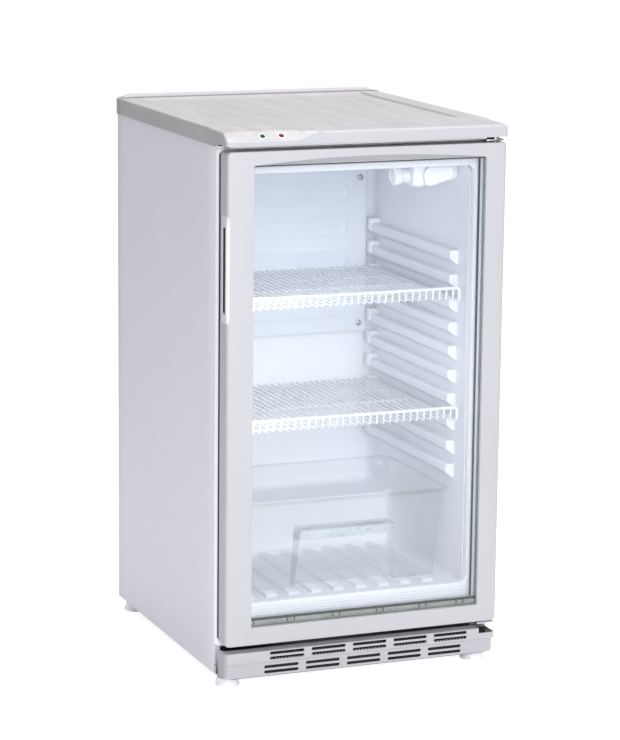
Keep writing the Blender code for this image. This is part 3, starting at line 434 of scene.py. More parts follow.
class Form:
    """A mesh in the making."""

    def __init__(self):
        self.bm = bmesh.new()

    def points(self, rings):
        return [[self.bm.verts.new(point) for point in ring] for ring in rings]

    def skin(self, rows, wrap=True, paint=0):
        """Faces between rows of vertices, each row open or closed on itself."""
        for low, high in zip(rows, rows[1:]):
            count = len(low)
            for index in range(count if wrap else count - 1):
                after = (index + 1) % count
                face = self.bm.faces.new((low[index], low[after], high[after], high[index]))
                face.material_index = paint

    def loft(self, rings, wrap=True, loop=False, caps=True, paint=0):
        rows = self.points(rings)
        self.skin(rows + rows[:1] if loop else rows, wrap, paint)
        if caps and wrap and not loop:
            self.bm.faces.new(rows[0][::-1]).material_index = paint
            self.bm.faces.new(rows[-1]).material_index = paint
        return rows

    def bevel(self, made, width, segments):
        """Every edge at these vertices is rounded, in a fixed order."""
        edges = list(dict.fromkeys(edge for vert in made for edge in vert.link_edges))
        if width:
            bmesh.ops.bevel(self.bm, geom=edges, offset=width, segments=segments, profile=0.5,
                            affect="EDGES")

    def block(self, low, high, bevel=0.0, segments=2, paint=0):
        low, high = Vector(low), Vector(high)
        before = set(self.bm.faces)
        made = bmesh.ops.create_cube(self.bm, size=1.0)["verts"]
        bmesh.ops.scale(self.bm, vec=high - low, verts=made)
        bmesh.ops.translate(self.bm, vec=(low + high) / 2, verts=made)
        self.bevel(made, bevel, segments)
        for face in self.bm.faces:
            if face not in before:
                face.material_index = paint

    def slab(self, x, d, z, bevel=0.0, segments=2, paint=0):
        """A block between limits in X, in depth and in Z."""
        self.block(at(x[0], d[0], z[0]), at(x[1], d[1], z[1]), bevel, segments, paint)

    def turned(self, profile, centre, direction=(0, 0, 1), steps=32, loop=False, flutes=0, flute=0.0,
               paint=0):
        side, up, along = basis(direction)
        rings = [circle(Vector(centre) + along * height, side, up, radius, steps, flutes, flute)
                 for radius, height in profile]
        ends = profile[0][0] > 1e-6 and profile[-1][0] > 1e-6
        self.loft(rings, loop=loop, caps=ends, paint=paint)

    def tube(self, path, radius, sides=8, loop=False, paint=0):
        points = [Vector(point) for point in path]
        count = len(points)
        rings = []
        side = None
        for index, point in enumerate(points):
            before = points[index - 1] if index or loop else points[0]
            after = points[(index + 1) % count] if index < count - 1 or loop else points[-1]
            along = (after - before).normalized()
            side = along.orthogonal() if side is None else side - along * side.dot(along)
            side.normalize()
            rings.append(circle(point, side, along.cross(side), radius, sides))
        if not loop:
            for end, other in ((0, 1), (-1, -2)):
                outward = (points[end] - points[other]).normalized() * radius * 0.45
                ring = [points[end] + (point - points[end]) * 0.6 + outward for point in rings[end]]
                rings.insert(0, ring) if end == 0 else rings.append(ring)
        self.loft(rings, loop=loop, paint=paint)

    def prism(self, outline, low, high, bevel=0.0, segments=2, paint=0):
        """A closed outline of (depth, height) points from X low to X high."""
        before = set(self.bm.verts)
        self.loft([[at(x, d, z) for d, z in outline] for x in (low, high)], paint=paint)
        self.bevel([vert for vert in self.bm.verts if vert not in before], bevel, segments)

    def raw(self, name):
        bmesh.ops.remove_doubles(self.bm, verts=self.bm.verts, dist=0.000001)
        bmesh.ops.recalc_face_normals(self.bm, faces=self.bm.faces)
        mesh = bpy.data.meshes.new(name)
        self.bm.to_mesh(mesh)
        self.bm.free()
        made = bpy.data.objects.new(name, mesh)
        bpy.context.scene.collection.objects.link(made)
        return made

    def sheet(self, name, thickness, offset=0.0, even=False):
        """A mesh thickened into sheet."""
        return modified(self.raw(name), "SOLIDIFY", thickness=thickness, offset=offset,
                        use_even_offset=even)

    def piece(self, name, looks, *nodes, **values):
        return dress(self.raw(name), looks, *nodes, **values)


def modified(item, kind, **settings):
    """The object with one modifier applied to its mesh."""
    step = item.modifiers.new("step", kind)
    for key, value in settings.items():
        setattr(step, key, value)
    bpy.context.view_layer.update()
    graph = bpy.context.evaluated_depsgraph_get()
    mesh = bpy.data.meshes.new_from_object(item.evaluated_get(graph))
    item.modifiers.clear()
    item.data = mesh
    return item


def carved(item, form):
    """The object with another form's shape cut out of it."""
    tool = form.raw("tool")
    modified(item, "BOOLEAN", operation="DIFFERENCE", solver="EXACT", object=tool)
    bpy.data.objects.remove(tool, do_unlink=True)
    return item


def dress(item, looks, *nodes, body="cabinet", slot=None, angle=32):
    """A finished piece: its looks, its body and the CAD nodes it takes the place of. The slot argument is
    not used.
    """
    looks = [looks] if isinstance(looks, str) else looks
    slot = slot or looks[0]
    for look in looks:
        item.data.materials.append(LOOKS[look])
    item.data.shade_smooth()
    item.data.set_sharp_from_angle(angle=math.radians(angle))
    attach(item, body)
    if nodes:
        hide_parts(*nodes)
    return item


def recoat(look, *nodes):
    """A carried-over CAD node gets its finished material."""
    for node in nodes:
        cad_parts[node].material_slots[0].material = LOOKS[look]
        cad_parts[node].data.shade_smooth()
        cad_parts[node].data.set_sharp_from_angle(angle=math.radians(32))


# Lid

LID_EDGE_ROUND = 0.003
LID_PLAN_ROUND = 0.0045
RECESS_X = 0.212
RECESS_D = (0.11, 0.549)
RECESS_SINK = 0.0038
RECESS_WALL = 0.0018
RIB_PITCH = 0.0163
LID_FACE = ((0.0005, 0.9215), (0.0001, 0.925), (0.0, 0.9285), (0.0, 0.932), (0.0003, 0.935),
            (0.0011, 0.9376), (0.003, 0.9394), (0.006, 0.9402), (0.012, 0.9406), (0.018, 0.9408),
            (0.024, 0.941), (0.031, 0.9413), (0.038, 0.9415))
SCOOP_LOW = 0.9275
SCOOP_TOP = 0.9412
LAMP_SEAT = (0.0115, 0.9336)
LAMP_LEAN = (0.0, -0.6, 0.8)
LID_BORDER = ((0.055, 0.9418), (0.072, 0.9421), (0.081, 0.9428), (0.088, 0.9434), (0.096, 0.9434),
              (0.103, 0.9431))


def scooped(x, index, d, z):
    """The lid's front left is cut back as a sloping facet, which ends in a slant by the second lamp."""
    if x > -0.084 or index >= len(LID_FACE) - 1:
        return d, z
    reach = 0.0012 + 0.029 * smooth((-0.074 - x) / 0.105) * (0.55 + 0.45 * smooth((x + 0.252) / 0.04))
    low = mix(SCOOP_LOW, SCOOP_TOP - 0.0008, min(max((x + 0.126) / 0.034, 0.0), 1.0))
    if index < 3:
        cut = ((0.0005, 0.9215), (0.0001, mix(0.9215, low, 0.5)), (0.0, low - 0.0003))[index]
    elif index < 11:
        along = (index - 3) / 7
        cut = (0.0003 + reach * along, low + (SCOOP_TOP - low) * along)
    else:
        cut = (mix(reach, 0.038, 0.5), mix(SCOOP_TOP, 0.9415, 0.5))
    share = smooth((-0.084 - x) / 0.008)
    return mix(d, cut[0], share), mix(z, cut[1], share)


def lid_x_stations():
    half = LID_HIGH.x
    edge = [0.0, 0.0002, 0.0009, 0.0018, 0.003, 0.0045, 0.007, 0.012, 0.018, 0.024, 0.031]
    inner = [half - step for step in edge]
    inner += [RECESS_X + 0.004, RECESS_X]
    steps = 212
    inner += [RECESS_X * (1 - step / steps * 2) for step in range(1, steps // 2 + 1)]
    right = sorted({round(value, 6) for value in inner if value >= 0})
    return sorted({-value for value in right} | set(right))


def top_cover():
    form = Form()
    half, rear = LID_HIGH.x, LID_HIGH.y - FRONT
    deck = 0.943
    stations = list(LID_FACE) + list(LID_BORDER)
    stations += [(d, deck) for d in (0.107, 0.11, 0.1112, 0.1125, 0.116, 0.122, 0.16, 0.24, 0.32, 0.4,
                                     0.48, 0.52, 0.53, 0.538, 0.544, 0.5475, 0.549, 0.55)]
    stations += [(0.5508, 0.9446), (0.5518, 0.9484), (0.5526, 0.9495), (0.5545, LID_HIGH.z)]
    stations += [(0.565, LID_HIGH.z), (0.5685, LID_HIGH.z - 0.0004), (0.5697, LID_HIGH.z - 0.0016),
                 (rear, LID_HIGH.z - 0.0034)]
    rows = []
    for index, (d, z) in enumerate(stations):
        row = []
        for x in lid_x_stations():
            near, up = scooped(x, index, d, z)
            inset = half - abs(x)
            if inset < LID_PLAN_ROUND:
                pull = LID_PLAN_ROUND - math.sqrt(LID_PLAN_ROUND**2 - (LID_PLAN_ROUND - inset) ** 2)
                near += pull * max(0.0, 1 - d / 0.1)
                near -= pull * 0.6 * max(0.0, 1 - (rear - d) / 0.03)
            if z > deck + 0.002:
                ramp = min(max((inset - 0.002) / 0.022, 0.0), 1.0)
                up = deck + (z - deck) * ramp
            if inset < LID_EDGE_ROUND:
                up -= LID_EDGE_ROUND - math.sqrt(LID_EDGE_ROUND**2 - (LID_EDGE_ROUND - inset) ** 2)
            inside = smooth((RECESS_X - abs(x)) / RECESS_WALL)
            inside *= smooth((d - RECESS_D[0]) / RECESS_WALL) * smooth((RECESS_D[1] - d) / 0.016)
            fade = smooth((d - 0.114) / 0.01) * smooth((0.53 - d) / 0.01)
            up += inside * (fade * 0.00016 * math.cos(2 * math.pi * x / RIB_PITCH) - RECESS_SINK)
            row.append(at(x, near, up))
        rows.append(row)
    net = form.loft(rows, wrap=False, caps=False)
    border = net[0] + [row[-1] for row in net[1:-1]] + net[-1][::-1] + [row[0] for row in net[-2:0:-1]]
    rim = [vert.co.copy() for vert in border]

    def skirt(wall, z_front, z_side):
        ring = []
        for point in rim:
            x = min(max(point.x, -half + wall), half - wall)
            y = min(max(point.y, FRONT + wall), deep(rear) - wall)
            step = smooth((point.y - deep(0.048)) / 0.007)
            ring.append(Vector((x, y, mix(z_front, z_side, step))))
        return ring

    rings = [skirt(0.0, 0.9206, 0.9146), skirt(0.0006, 0.92, LID_LOW.z), skirt(0.0032, 0.92, LID_LOW.z),
             skirt(0.0036, 0.93, 0.93)]
    walls = [border] + form.points(rings)
    form.skin(walls)
    form.bm.faces.new(walls[-1])
    item = form.raw("lid")
    holes = Form()
    for name in ("indicator_green", "indicator_red"):
        middle = middle_of(name)
        holes.turned([(0.0064, 0.01), (0.0064, -0.006)], at(middle.x, *LAMP_SEAT), LAMP_LEAN)
    dress(carved(item, holes), "lid_plastic", "top_cover", angle=28)
    form = Form()
    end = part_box("top_hinge_bracket")[0].x - 0.002
    outline = [(0.0046, 0.9216), (0.0046, 0.9176), (0.0054, 0.9166), (0.033, 0.9164), (0.044, 0.9176),
               (0.044, 0.9216)]
    form.prism(outline, -0.244, end, 0.0004, 1)
    form.piece("lid_lower_lip", "lid_plastic")


def indicators():
    for name, lens in (("indicator_green", "green_lens"), ("indicator_red", "red_lens")):
        middle = middle_of(name)
        centre = at(middle.x, *LAMP_SEAT)
        form = Form()
        form.turned([(0.0, 0.0036), (0.0016, 0.0034), (0.003, 0.0028), (0.0041, 0.0018), (0.0046, 0.0006),
                     (0.0046, -0.005), (0.0, -0.005)], centre, LAMP_LEAN)
        form.turned([(0.0047, 0.0005), (0.0049, 0.001), (0.0059, 0.001), (0.0063, 0.0006),
                     (0.0063, -0.005), (0.0047, -0.005)], centre, LAMP_LEAN, loop=True, paint=1)
        form.piece(name + "_lamp", [lens, "diffuser_plastic"], name)


# Cabinet shell

LINER_STEP = (0.375, 0.225)
RAIL_COUNT, RAIL_LOWEST, RAIL_PITCH = 10, 0.338, 0.0418
FLOOR_RIB_TOP = 0.1335
CHANNEL_RUNS = 9


def side_panels():
    for name, sign in (("left_side_panel", -1), ("right_side_panel", 1)):
        low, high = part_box(name)
        outside = high.x if sign > 0 else low.x
        front, rear = low.y - FRONT, high.y - FRONT
        line = [(0.012, front + 0.0006), (0.0022, front + 0.0006), (0.0008, front + 0.0012),
                (0.0, front + 0.0026)]
        line += [(0.0, mix(front, rear, step / 12)) for step in range(1, 12)]
        line += [(0.0, rear - 0.003), (0.0006, rear - 0.0012), (0.0022, rear - 0.0001),
                 (0.014, rear - 0.0001), (0.0146, rear - 0.0008), (0.0146, rear - 0.009)]
        form = Form()
        rings = []
        for step in range(13):
            z = mix(low.z, high.z, step / 12)
            rings.append([at(outside - sign * inset, d, z) for inset, d in line])
        form.loft(rings, wrap=False, caps=False)
        item = form.sheet(name + "_sheet", 0.0011, -1.0, True)
        inner = max(abs(vert.co.x) for vert in item.data.vertices)
        if inner > abs(outside) + 0.0002:
            item.data.transform(Matrix.Translation((sign * (abs(outside) - inner), 0, 0)))
        dress(item, "cabinet_paint", name)


def screw_head(form, x, d, z, direction, radius=0.0038, paint=0):
    """A domed pan head on a thin disc."""
    centre = at(x, d, z)
    form.turned([(0.0, 0.0019), (radius * 0.45, 0.0018), (radius * 0.8, 0.0013), (radius, 0.0004),
                 (radius, -0.0004), (0.0, -0.0004)], centre, direction, 20, paint=paint)
    form.turned([(radius * 1.35, 0.0001), (radius * 1.35, -0.0004), (0.0, -0.0004), (0.0, 0.0001)],
                centre, direction, 20, paint=paint)


def rear_panel():
    low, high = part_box("rear_panel")
    back = high.y - FRONT
    beads = (-0.19, -0.095, 0.0, 0.095, 0.19)

    def pressed(x, z):
        ends = smooth((z - low.z - 0.045) / 0.02) * smooth((high.z - 0.045 - z) / 0.02)
        lift = max(max(0.0, 1 - abs(x - bead) / 0.009) for bead in beads)
        return back + 0.0018 * smooth(lift * 1.4) * ends

    form = Form()
    form.loft(grid(low, high, 150, 46, pressed), wrap=False, caps=False)
    item = form.sheet("rear_sheet", 0.001)
    screws = Form()
    for x in (-0.236, 0.236):
        for z in (0.215, 0.38, 0.56, 0.74, 0.895):
            screw_head(screws, x, back + 0.0006, z, (0, 1, 0))
    dress(item, "cabinet_paint", "rear_panel")
    screws.piece("rear_sheet_screws", "zinc_steel")


def machine_compartment():
    low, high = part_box("underside_panel")
    half = high.x
    line = [(0.0582, low.z + 0.0006), (0.4085, low.z + 0.0006), (0.4112, low.z + 0.0014),
            (0.4121, low.z + 0.004), (0.4121, 0.183), (0.4129, 0.1862), (0.416, 0.1874), (0.529, 0.1874)]
    form = Form()
    form.loft([[at(mix(-half, half, step / 8), d, z) for d, z in line] for step in range(9)], wrap=False,
              caps=False)
    item = form.sheet("underside_sheet", 0.0011, even=True)
    dress(item, "zinc_steel", "underside_panel")

    low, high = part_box("base_pan")
    form = Form()
    form.block(low, high, 0.0006)
    for x in (low.x, high.x - 0.0012):
        form.block((x, low.y + 0.02, high.z - 0.0005), (x + 0.0012, high.y - 0.01, high.z + 0.014),
                   0.0004, 1)
    for d in (0.13, 0.21, 0.29, 0.37):
        form.slab((-0.19, 0.19), (d, d + 0.012), (high.z - 0.0005, high.z + 0.0016), 0.0015, 3)
    form.piece("base_tray", "zinc_steel", "base_pan")

    low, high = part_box("rear_crossbar")
    form = Form()
    back = low.y - FRONT
    outline = [(back - 0.012, low.z + 0.0004), (back + 0.0006, low.z + 0.0004),
               (back + 0.0006, high.z - 0.001), (back - 0.006, high.z - 0.0002)]
    path = rounded_path([at(0, d, z) for d, z in outline], 0.0012, 3)
    form.loft([[Vector((x, point.y, point.z)) for point in path] for x in (low.x, 0.0, high.x)],
              wrap=False, caps=False)
    item = form.sheet("crossbar", 0.0012, even=True)
    gland_low, gland_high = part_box("cord_gland")
    centre = (gland_low + gland_high) / 2
    hole = Form()
    hole.turned([(0.0082, 0.03), (0.0082, -0.03)], centre, (0, 1, 0))
    for x in (-0.2, -0.14, 0.1):
        hole.slab((x, x + 0.05), (0.52, 0.6), (0.034, 0.038), 0.0015)
    dress(carved(item, hole), "zinc_steel", "rear_crossbar")
    form = Form()
    form.turned([(0.0045, 0.0052), (0.0062, 0.006), (0.009, 0.0056), (0.0105, 0.004), (0.0105, 0.0012),
                 (0.008, 0.0006), (0.008, -0.0012), (0.0104, -0.0018), (0.01, -0.004), (0.0062, -0.0052),
                 (0.0045, -0.0048)], (centre.x, gland_high.y - 0.0062, centre.z), (0, 1, 0), 40, True, 20,
                0.012)
    form.piece("gland", "black_plastic", "cord_gland")


def front_flange():
    low, high, front, back = spans("front_frame")
    x, z = (low.x, high.x), (low.z, high.z)
    inner_x, inner_z = (-0.22, 0.22), (0.106, 0.88)
    rings = rings_of(x, z, ((0, 0, 0.004, back), (0, 0, 0.004, front + 0.014),
                            (-0.0006, 0, 0.004, front + 0.0095), (-0.002, 0, 0.004, front + 0.005),
                            (-0.004, -0.0002, 0.004, front + 0.002),
                            (-0.0064, -0.001, 0.0036, front + 0.0004), (-0.0088, -0.002, 0.0034, front)))
    mouth = ((0.0012, front), (0.0003, front + 0.0006), (0, front + 0.0016), (0, back))
    rings += even_rings(inner_x, inner_z, 0.01, mouth)
    form = Form()
    form.loft(rings, loop=True)
    form.slab((x[0] + 0.0022, x[1] - 0.0022), (front + 0.0052, back), (z[1] - 0.0006, 0.9162), 0.0004, 1)
    form.piece("mouth_flange", "white_enamel", "front_frame")


def breaker():
    low, high, front, back = spans("breaker_frame")
    x, z = (low.x, high.x), (low.z, high.z)
    inner_x, inner_z = (-0.212, 0.212), (0.14, 0.868)
    rings = even_rings(x, z, 0.01, ((0, back), (0, front + 0.001)))
    rings += even_rings(x, z, 0.0095, ((-0.0008, front + 0.0002),))
    rings += rings_of(inner_x, inner_z, ((0.004, (0.003, 0.004), 0.015, front + 0.0002),
                                         (0.0018, (0.0012, 0.0018), 0.014, front + 0.0009),
                                         (0.0004, (0.0003, 0.0004), 0.0132, front + 0.0024)))
    rings += even_rings(inner_x, inner_z, 0.013, ((0, front + 0.0045), (0, back)))
    form = Form()
    form.loft(rings, loop=True)
    rim = ((0, back - 0.0004), (0.0035, back - 0.0004), (0.0035, back + 0.0022), (0, back + 0.0022))
    form.loft(even_rings(inner_x, inner_z, 0.013, rim), loop=True)
    for number in range(5):
        height = 0.1125 + number * 0.0052
        path = [at(mix(-0.216, 0.216, step / 8), front + 0.0004, height) for step in range(9)]
        form.tube(path, 0.0011, 8)
    form.piece("throat", "inner_plastic", "breaker_frame")


def liner():
    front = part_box("inner_liner")[0].y - FRONT
    half, floor, ceiling, back = 0.21, 0.1275, 0.868, 0.47
    step_d, step_z = LINER_STEP
    outline = [(front, floor), (step_d, floor), (step_d, step_z), (back, step_z), (back, ceiling),
               (front, ceiling)]
    form = Form()
    form.loft([[at(x, d, z) for d, z in outline] for x in (-half, half)])
    mouth = deep(front) + 0.0005
    bm = form.bm
    bmesh.ops.delete(bm, geom=[f for f in bm.faces if all(v.co.y < mouth for v in f.verts)],
                     context="FACES_ONLY")
    round_edges = [e for e in bm.edges if not all(v.co.y < mouth for v in e.verts)]

    def on_step(edge):
        return all(abs(v.co.y - deep(step_d)) + abs(v.co.z - step_z) < 1e-4 for v in edge.verts)

    round_edges = [e for e in round_edges if not on_step(e)]
    bmesh.ops.bevel(bm, geom=round_edges, offset=0.016, segments=6, profile=0.5, affect="EDGES",
                    clamp_overlap=True)
    step_edges = [e for e in bm.edges if on_step(e)]
    bmesh.ops.bevel(bm, geom=step_edges, offset=0.003, segments=3, profile=0.5, affect="EDGES")
    item = form.raw("liner_shell")
    centre = Vector((0, 0, 0.5))
    face = max(item.data.polygons, key=lambda p: p.area)
    outward = face.normal.dot(face.center - centre) > 0
    modified(item, "SOLIDIFY", thickness=0.0014, offset=1.0 if outward else -1.0)
    dress(item, "inner_plastic", "inner_liner", angle=40)

    rails = Form()
    for sign in (-1, 1):
        for index in range(RAIL_COUNT):
            top = RAIL_LOWEST + RAIL_PITCH * index
            wall, tip = half + 0.0006, half - 0.0155
            section = [(wall, top), (tip, top), (tip, top - 0.014), (wall, top - 0.027)]
            rings = []
            for d in (0.1, 0.1006, 0.1018, 0.27, 0.44, 0.4545):
                shrink = {0.1: 0.0012, 0.1006: 0.0004}.get(d, 0.0)
                loop = rounded_path([at(sign * x, d, z) for x, z in section], 0.0018 + shrink, 3, loop=True)
                centre = at(sign * (half - 0.006), d, top - 0.01)
                rings.append([centre + (point - centre) * (1 - shrink * 22) for point in loop])
            rails.loft(rings)
            stop = [(wall, top + 0.008), (half - 0.0175, top + 0.008), (half - 0.019, top - 0.013),
                    (wall, top - 0.025)]
            rings = []
            for d in (0.4408, 0.4418, 0.4545):
                loop = rounded_path([at(sign * x, d, z) for x, z in stop], 0.002, 3, loop=True)
                centre = at(sign * (half - 0.008), d, top - 0.008)
                scale = 0.97 if d < 0.441 else 1.0
                rings.append([centre + (point - centre) * scale for point in loop])
            rails.loft(rings)
    rails.piece("liner_rails", "inner_plastic")

    ribs = Form()
    for index in range(-4, 5):
        x = index * 0.042
        section = [(x - 0.0115, floor - 0.0004), (x - 0.0095, 0.1331), (x - 0.0075, FLOOR_RIB_TOP),
                   (x + 0.0075, FLOOR_RIB_TOP), (x + 0.0095, 0.1331), (x + 0.0115, floor - 0.0004)]
        rings = []
        for d, rise in ((0.105, 0.02), (0.1062, 0.35), (0.1085, 0.85), (0.111, 1.0), (0.24, 1.0),
                        (0.374, 1.0)):
            rings.append([at(px, d, floor - 0.0004 + (pz - floor + 0.0004) * rise) for px, pz in section])
        ribs.loft(rings)
    ribs.piece("liner_floor_ribs", "inner_plastic")


def channel_distance(x, z, path):
    """Least distance from a point to a path of straight stretches, in the plane of the plate."""
    best = 9.0
    for (ax, az), (bx, bz) in zip(path, path[1:]):
        dx, dz = bx - ax, bz - az
        share = min(max(((x - ax) * dx + (z - az) * dz) / (dx * dx + dz * dz), 0.0), 1.0)
        best = min(best, math.hypot(x - ax - share * dx, z - az - share * dz))
    return best


def evaporator():
    low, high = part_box("evaporator_plate")
    front = low.y - FRONT
    corners = []
    for index in range(CHANNEL_RUNS):
        z = high.z - 0.03 - index * 0.03
        ends = (-0.15, 0.15) if index % 2 == 0 else (0.15, -0.15)
        corners += [Vector((ends[0], 0, z)), Vector((ends[1], 0, z))]
    path = [(point.x, point.z) for point in rounded_path(corners, 0.014, 4)]

    def pressed(x, z):
        edge = min(x - low.x, high.x - x, z - low.z, high.z - z)
        lift = 0.0017 * smooth((0.0062 - channel_distance(x, z, path)) / 0.004)
        curl = 0.0012 * (1 - smooth(edge / 0.004))
        return front + 0.0012 - lift + curl

    form = Form()
    form.loft(grid(low, high, 128, 102, pressed), wrap=False, caps=False)
    dress(form.sheet("evaporator_sheet", 0.0012), "evaporator_paint", "evaporator_plate")
    for number in range(1, 5):
        name = "evaporator_screw_%d" % number
        low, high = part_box(name)
        middle = (low + high) / 2
        form = Form()
        radius = (high.x - low.x) / 2
        head = low.y - FRONT
        form.turned([(0.0, 0.0002), (radius * 0.42, 0.0), (radius * 0.5, -0.0016),
                     (radius * 0.62, 0.0001), (radius * 0.92, 0.0008), (radius, 0.0022),
                     (radius * 1.02, 0.0034), (0.003, 0.0036), (0.003, 0.015), (0.0, 0.015)][::-1],
                    (middle.x, deep(head), middle.z), (0, 1, 0), 24)
        form.piece(name + "_turned", "zinc_steel", name)


def lamp_unit():
    low, high, front, back = spans("lamp_housing")
    body_low_x = 0.127
    form = Form()
    rings = []
    for step in range(13):
        share = step / 12
        x = mix(body_low_x, high.x, share)
        sag = mix(0.0, 0.01, smooth(share * 1.1))
        shrink = 0.003 * (1 - min(share * 8, 1.0)) + 0.003 * max(0.0, share * 8 - 7)
        bottom, top = low.z + sag + shrink, high.z
        a, b = front + shrink, back - shrink
        corners = [at(x, a, top), at(x, a, bottom), at(x, b, bottom + 0.004), at(x, b, top)]
        rings.append(rounded_path(corners, 0.0095, 6))
    form.loft(rings)
    collar = at(body_low_x + 0.001, 0.135, 0.843)
    form.turned([(0.0, 0.0157), (0.011, 0.0157), (0.0126, 0.015), (0.013, 0.0135), (0.013, 0.002),
                 (0.014, 0.0), (0.014, -0.002), (0.0, -0.002)], collar, (-1, 0, 0), 48, flutes=24,
                flute=0.008)
    form.piece("lamp_cover", "inner_plastic", "lamp_housing")

    low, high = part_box("lamp_diffuser")
    form = Form()
    rings = []
    count = 17
    for step in range(count):
        share = step / (count - 1)
        x = mix(low.x, high.x, share)
        swell = math.sqrt(max(0.0, 1 - (2 * share - 1) ** 6))
        bottom = mix(low.z, low.z + 0.012, smooth(share))
        top = high.z
        middle = (bottom + top) / 2
        ring = []
        for turn in range(24):
            angle = 2 * math.pi * turn / 24
            power = 0.55
            c, s = math.cos(angle), math.sin(angle)
            y = math.copysign(abs(c) ** power, c)
            z = math.copysign(abs(s) ** power, s)
            reach = high.y - low.y
            ring.append(Vector((x, low.y + reach * (0.5 + 0.5 * y * max(swell, 0.05)),
                                middle + (top - bottom) / 2 * z * max(swell, 0.25))))
        rings.append(ring)
    form.loft(rings)
    form.piece("lamp_lens", "diffuser_plastic", "lamp_diffuser")

    low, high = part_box("thermostat_knob")
    middle = (low + high) / 2
    radius = (high.z - low.z) / 2
    form = Form()
    form.turned([(0.0, 0.0128), (radius * 0.6, 0.0128), (radius * 0.66, 0.012), (radius * 0.72, 0.0128),
                 (radius * 0.9, 0.0126), (radius * 0.98, 0.0112), (radius * 0.99, 0.002),
                 (radius * 0.94, 0.0004), (0.003, 0.0), (0.003, -0.016), (0.0, -0.016)],
                (low.x + 0.013, middle.y, middle.z), (-1, 0, 0), 96, flutes=24, flute=0.012)
    form.block((low.x + 0.0001, middle.y - 0.0009, middle.z + 0.004),
               (low.x + 0.0008, middle.y + 0.0009, middle.z + radius * 0.62), 0.0003, paint=1)
    form.piece("dial", ["diffuser_plastic", "black_plastic"], "thermostat_knob", body="thermostat_knob")


# Shelves and drawer

WIRE_COUNT, WIRE_SPAN = 31, 0.188


def wire_shelves():
    for name in ("upper_shelf", "lower_shelf"):
        low, high, front, back = spans(name)
        half = high.x
        thick = 0.0029
        base = low.z + 0.0022
        top = high.z - thick
        side = half - 0.0024
        corners = [at(-side, back - 0.0024, base), at(-side, front + thick, base),
                   at(-side, front + thick, top), at(side, front + thick, top),
                   at(side, front + thick, base), at(side, back - 0.0024, base)]
        form = Form()
        form.tube(rounded_path(corners, 0.0062, 6), thick * 0.92, 12)
        lift = base + 0.003
        for index in range(WIRE_COUNT):
            x = mix(-WIRE_SPAN, WIRE_SPAN, index / (WIRE_COUNT - 1))
            wire = rounded_path([at(x, back - 0.001, lift), at(x, front + 0.0048, lift),
                                 at(x, front + 0.004, top + 0.0002)], 0.0032, 4)
            form.tube(wire, 0.0018, 8)
        for d in (front + 0.092, front + 0.182, front + 0.272, back - 0.0024):
            form.tube([at(mix(-side, side, step / 4), d, base) for step in range(5)], 0.0021, 8)
        form.piece(name + "_wires", "shelf_wire", name, body=name, angle=60)


def basket_ring(level, z, notch, outset=0.0):
    """One level of the drawer's wall, seen from above, from its front left corner clockwise."""
    half = mix(0.197, 0.19, level) + outset
    front, back = mix(0.1, 0.1235, level) - outset, mix(0.365, 0.352, level) + outset
    radius = 0.016 + outset
    left, right = mix(-0.068, -0.078, level), mix(0.103, 0.113, level)
    inner = front + (0.15 - front) * notch
    wide = [(-half, front), (-half, back), (half, back), (half, front)]
    deepest = inner + 0.00001
    recess = [(right, front), (right - 0.002, deepest), (left + 0.002, deepest), (left, front)]
    radii = [radius] * 4 + [0.0035] * 4
    points = [at(x, d, z) for x, d in wide + recess]
    ring = []
    count = len(points)
    for index, radius in enumerate(radii):
        here = points[index]
        if notch < 0.3 and index > 3:
            ring += [here.copy() for _ in range(6)]
        else:
            ring += fillet(points[index - 1], here, points[(index + 1) % count], radius, 5)
    return ring


def drawer():
    low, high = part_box("basket")
    top = high.z
    levels = [(0.0, top - 0.004, 0.0, 0.0048), (0.0, top - 0.0046, 0.0, 0.0054),
              (0.0, top - 0.004, 0.0, 0.006), (0.0, top - 0.0012, 0.0, 0.006), (0.0, top, 0.0, 0.0048),
              (0.0, top, 0.0, 0.0012), (0.0, top - 0.001, 0.0, 0.0), (0.1, top - 0.018, 0.0, 0.0),
              (0.3, top - 0.048, 0.0, 0.0), (0.355, top - 0.057, 0.0, 0.0), (0.36, top - 0.058, 1.0, 0.0)]
    for step in range(1, 9):
        level = mix(0.36, 0.96, step / 8)
        levels.append((level, mix(top - 0.058, low.z + 0.006, step / 8), 1.0, 0.0))
    levels += [(0.985, low.z + 0.0026, 1.0, -0.0006), (1.0, low.z + 0.0008, 1.0, -0.0022),
               (1.0, low.z + 0.0002, 1.0, -0.0042)]
    form = Form()
    rows = form.loft([basket_ring(level, z, notch, outset) for level, z, notch, outset in levels],
                     caps=False)
    form.bm.faces.new(rows[-1])
    item = form.raw("drawer_shell")
    grip = Form()
    path = rounded_path([at(-0.0715, 0.1486, 0.212), at(-0.0705, 0.1486, 0.2335),
                         at(0.1045, 0.1486, 0.2335), at(0.106, 0.1486, 0.212)], 0.006, 5, loop=True)
    rings = []
    for d, scale in ((0.1498, 1.0), (0.148, 1.0), (0.1474, 0.985)):
        centre = at(0.018, d, 0.2228)
        rings.append([centre + Vector(((point.x - centre.x) * scale, 0,
                                       (point.z - centre.z) * mix(1, scale, 3))) for point in path])
    grip.loft(rings)
    dress(item, "clear_plastic", "basket", body="basket", angle=50).visible_shadow = False
    grip.piece("drawer_grip", "frosted_plastic", body="basket", slot="clear_plastic").visible_shadow = False


# Door

VIEW_X, VIEW_Z = (-0.203, 0.213), (0.11, 0.887)
HANDLE_SEAM = -0.2452
ARCH_RISE = 0.0096
SPACER_TICKS = (-0.201, -0.128, -0.0455, 0.035, 0.115, 0.185)


def arch(x):
    return ARCH_RISE * max(0.0, 1 - ((x - 0.006) / 0.204) ** 2)


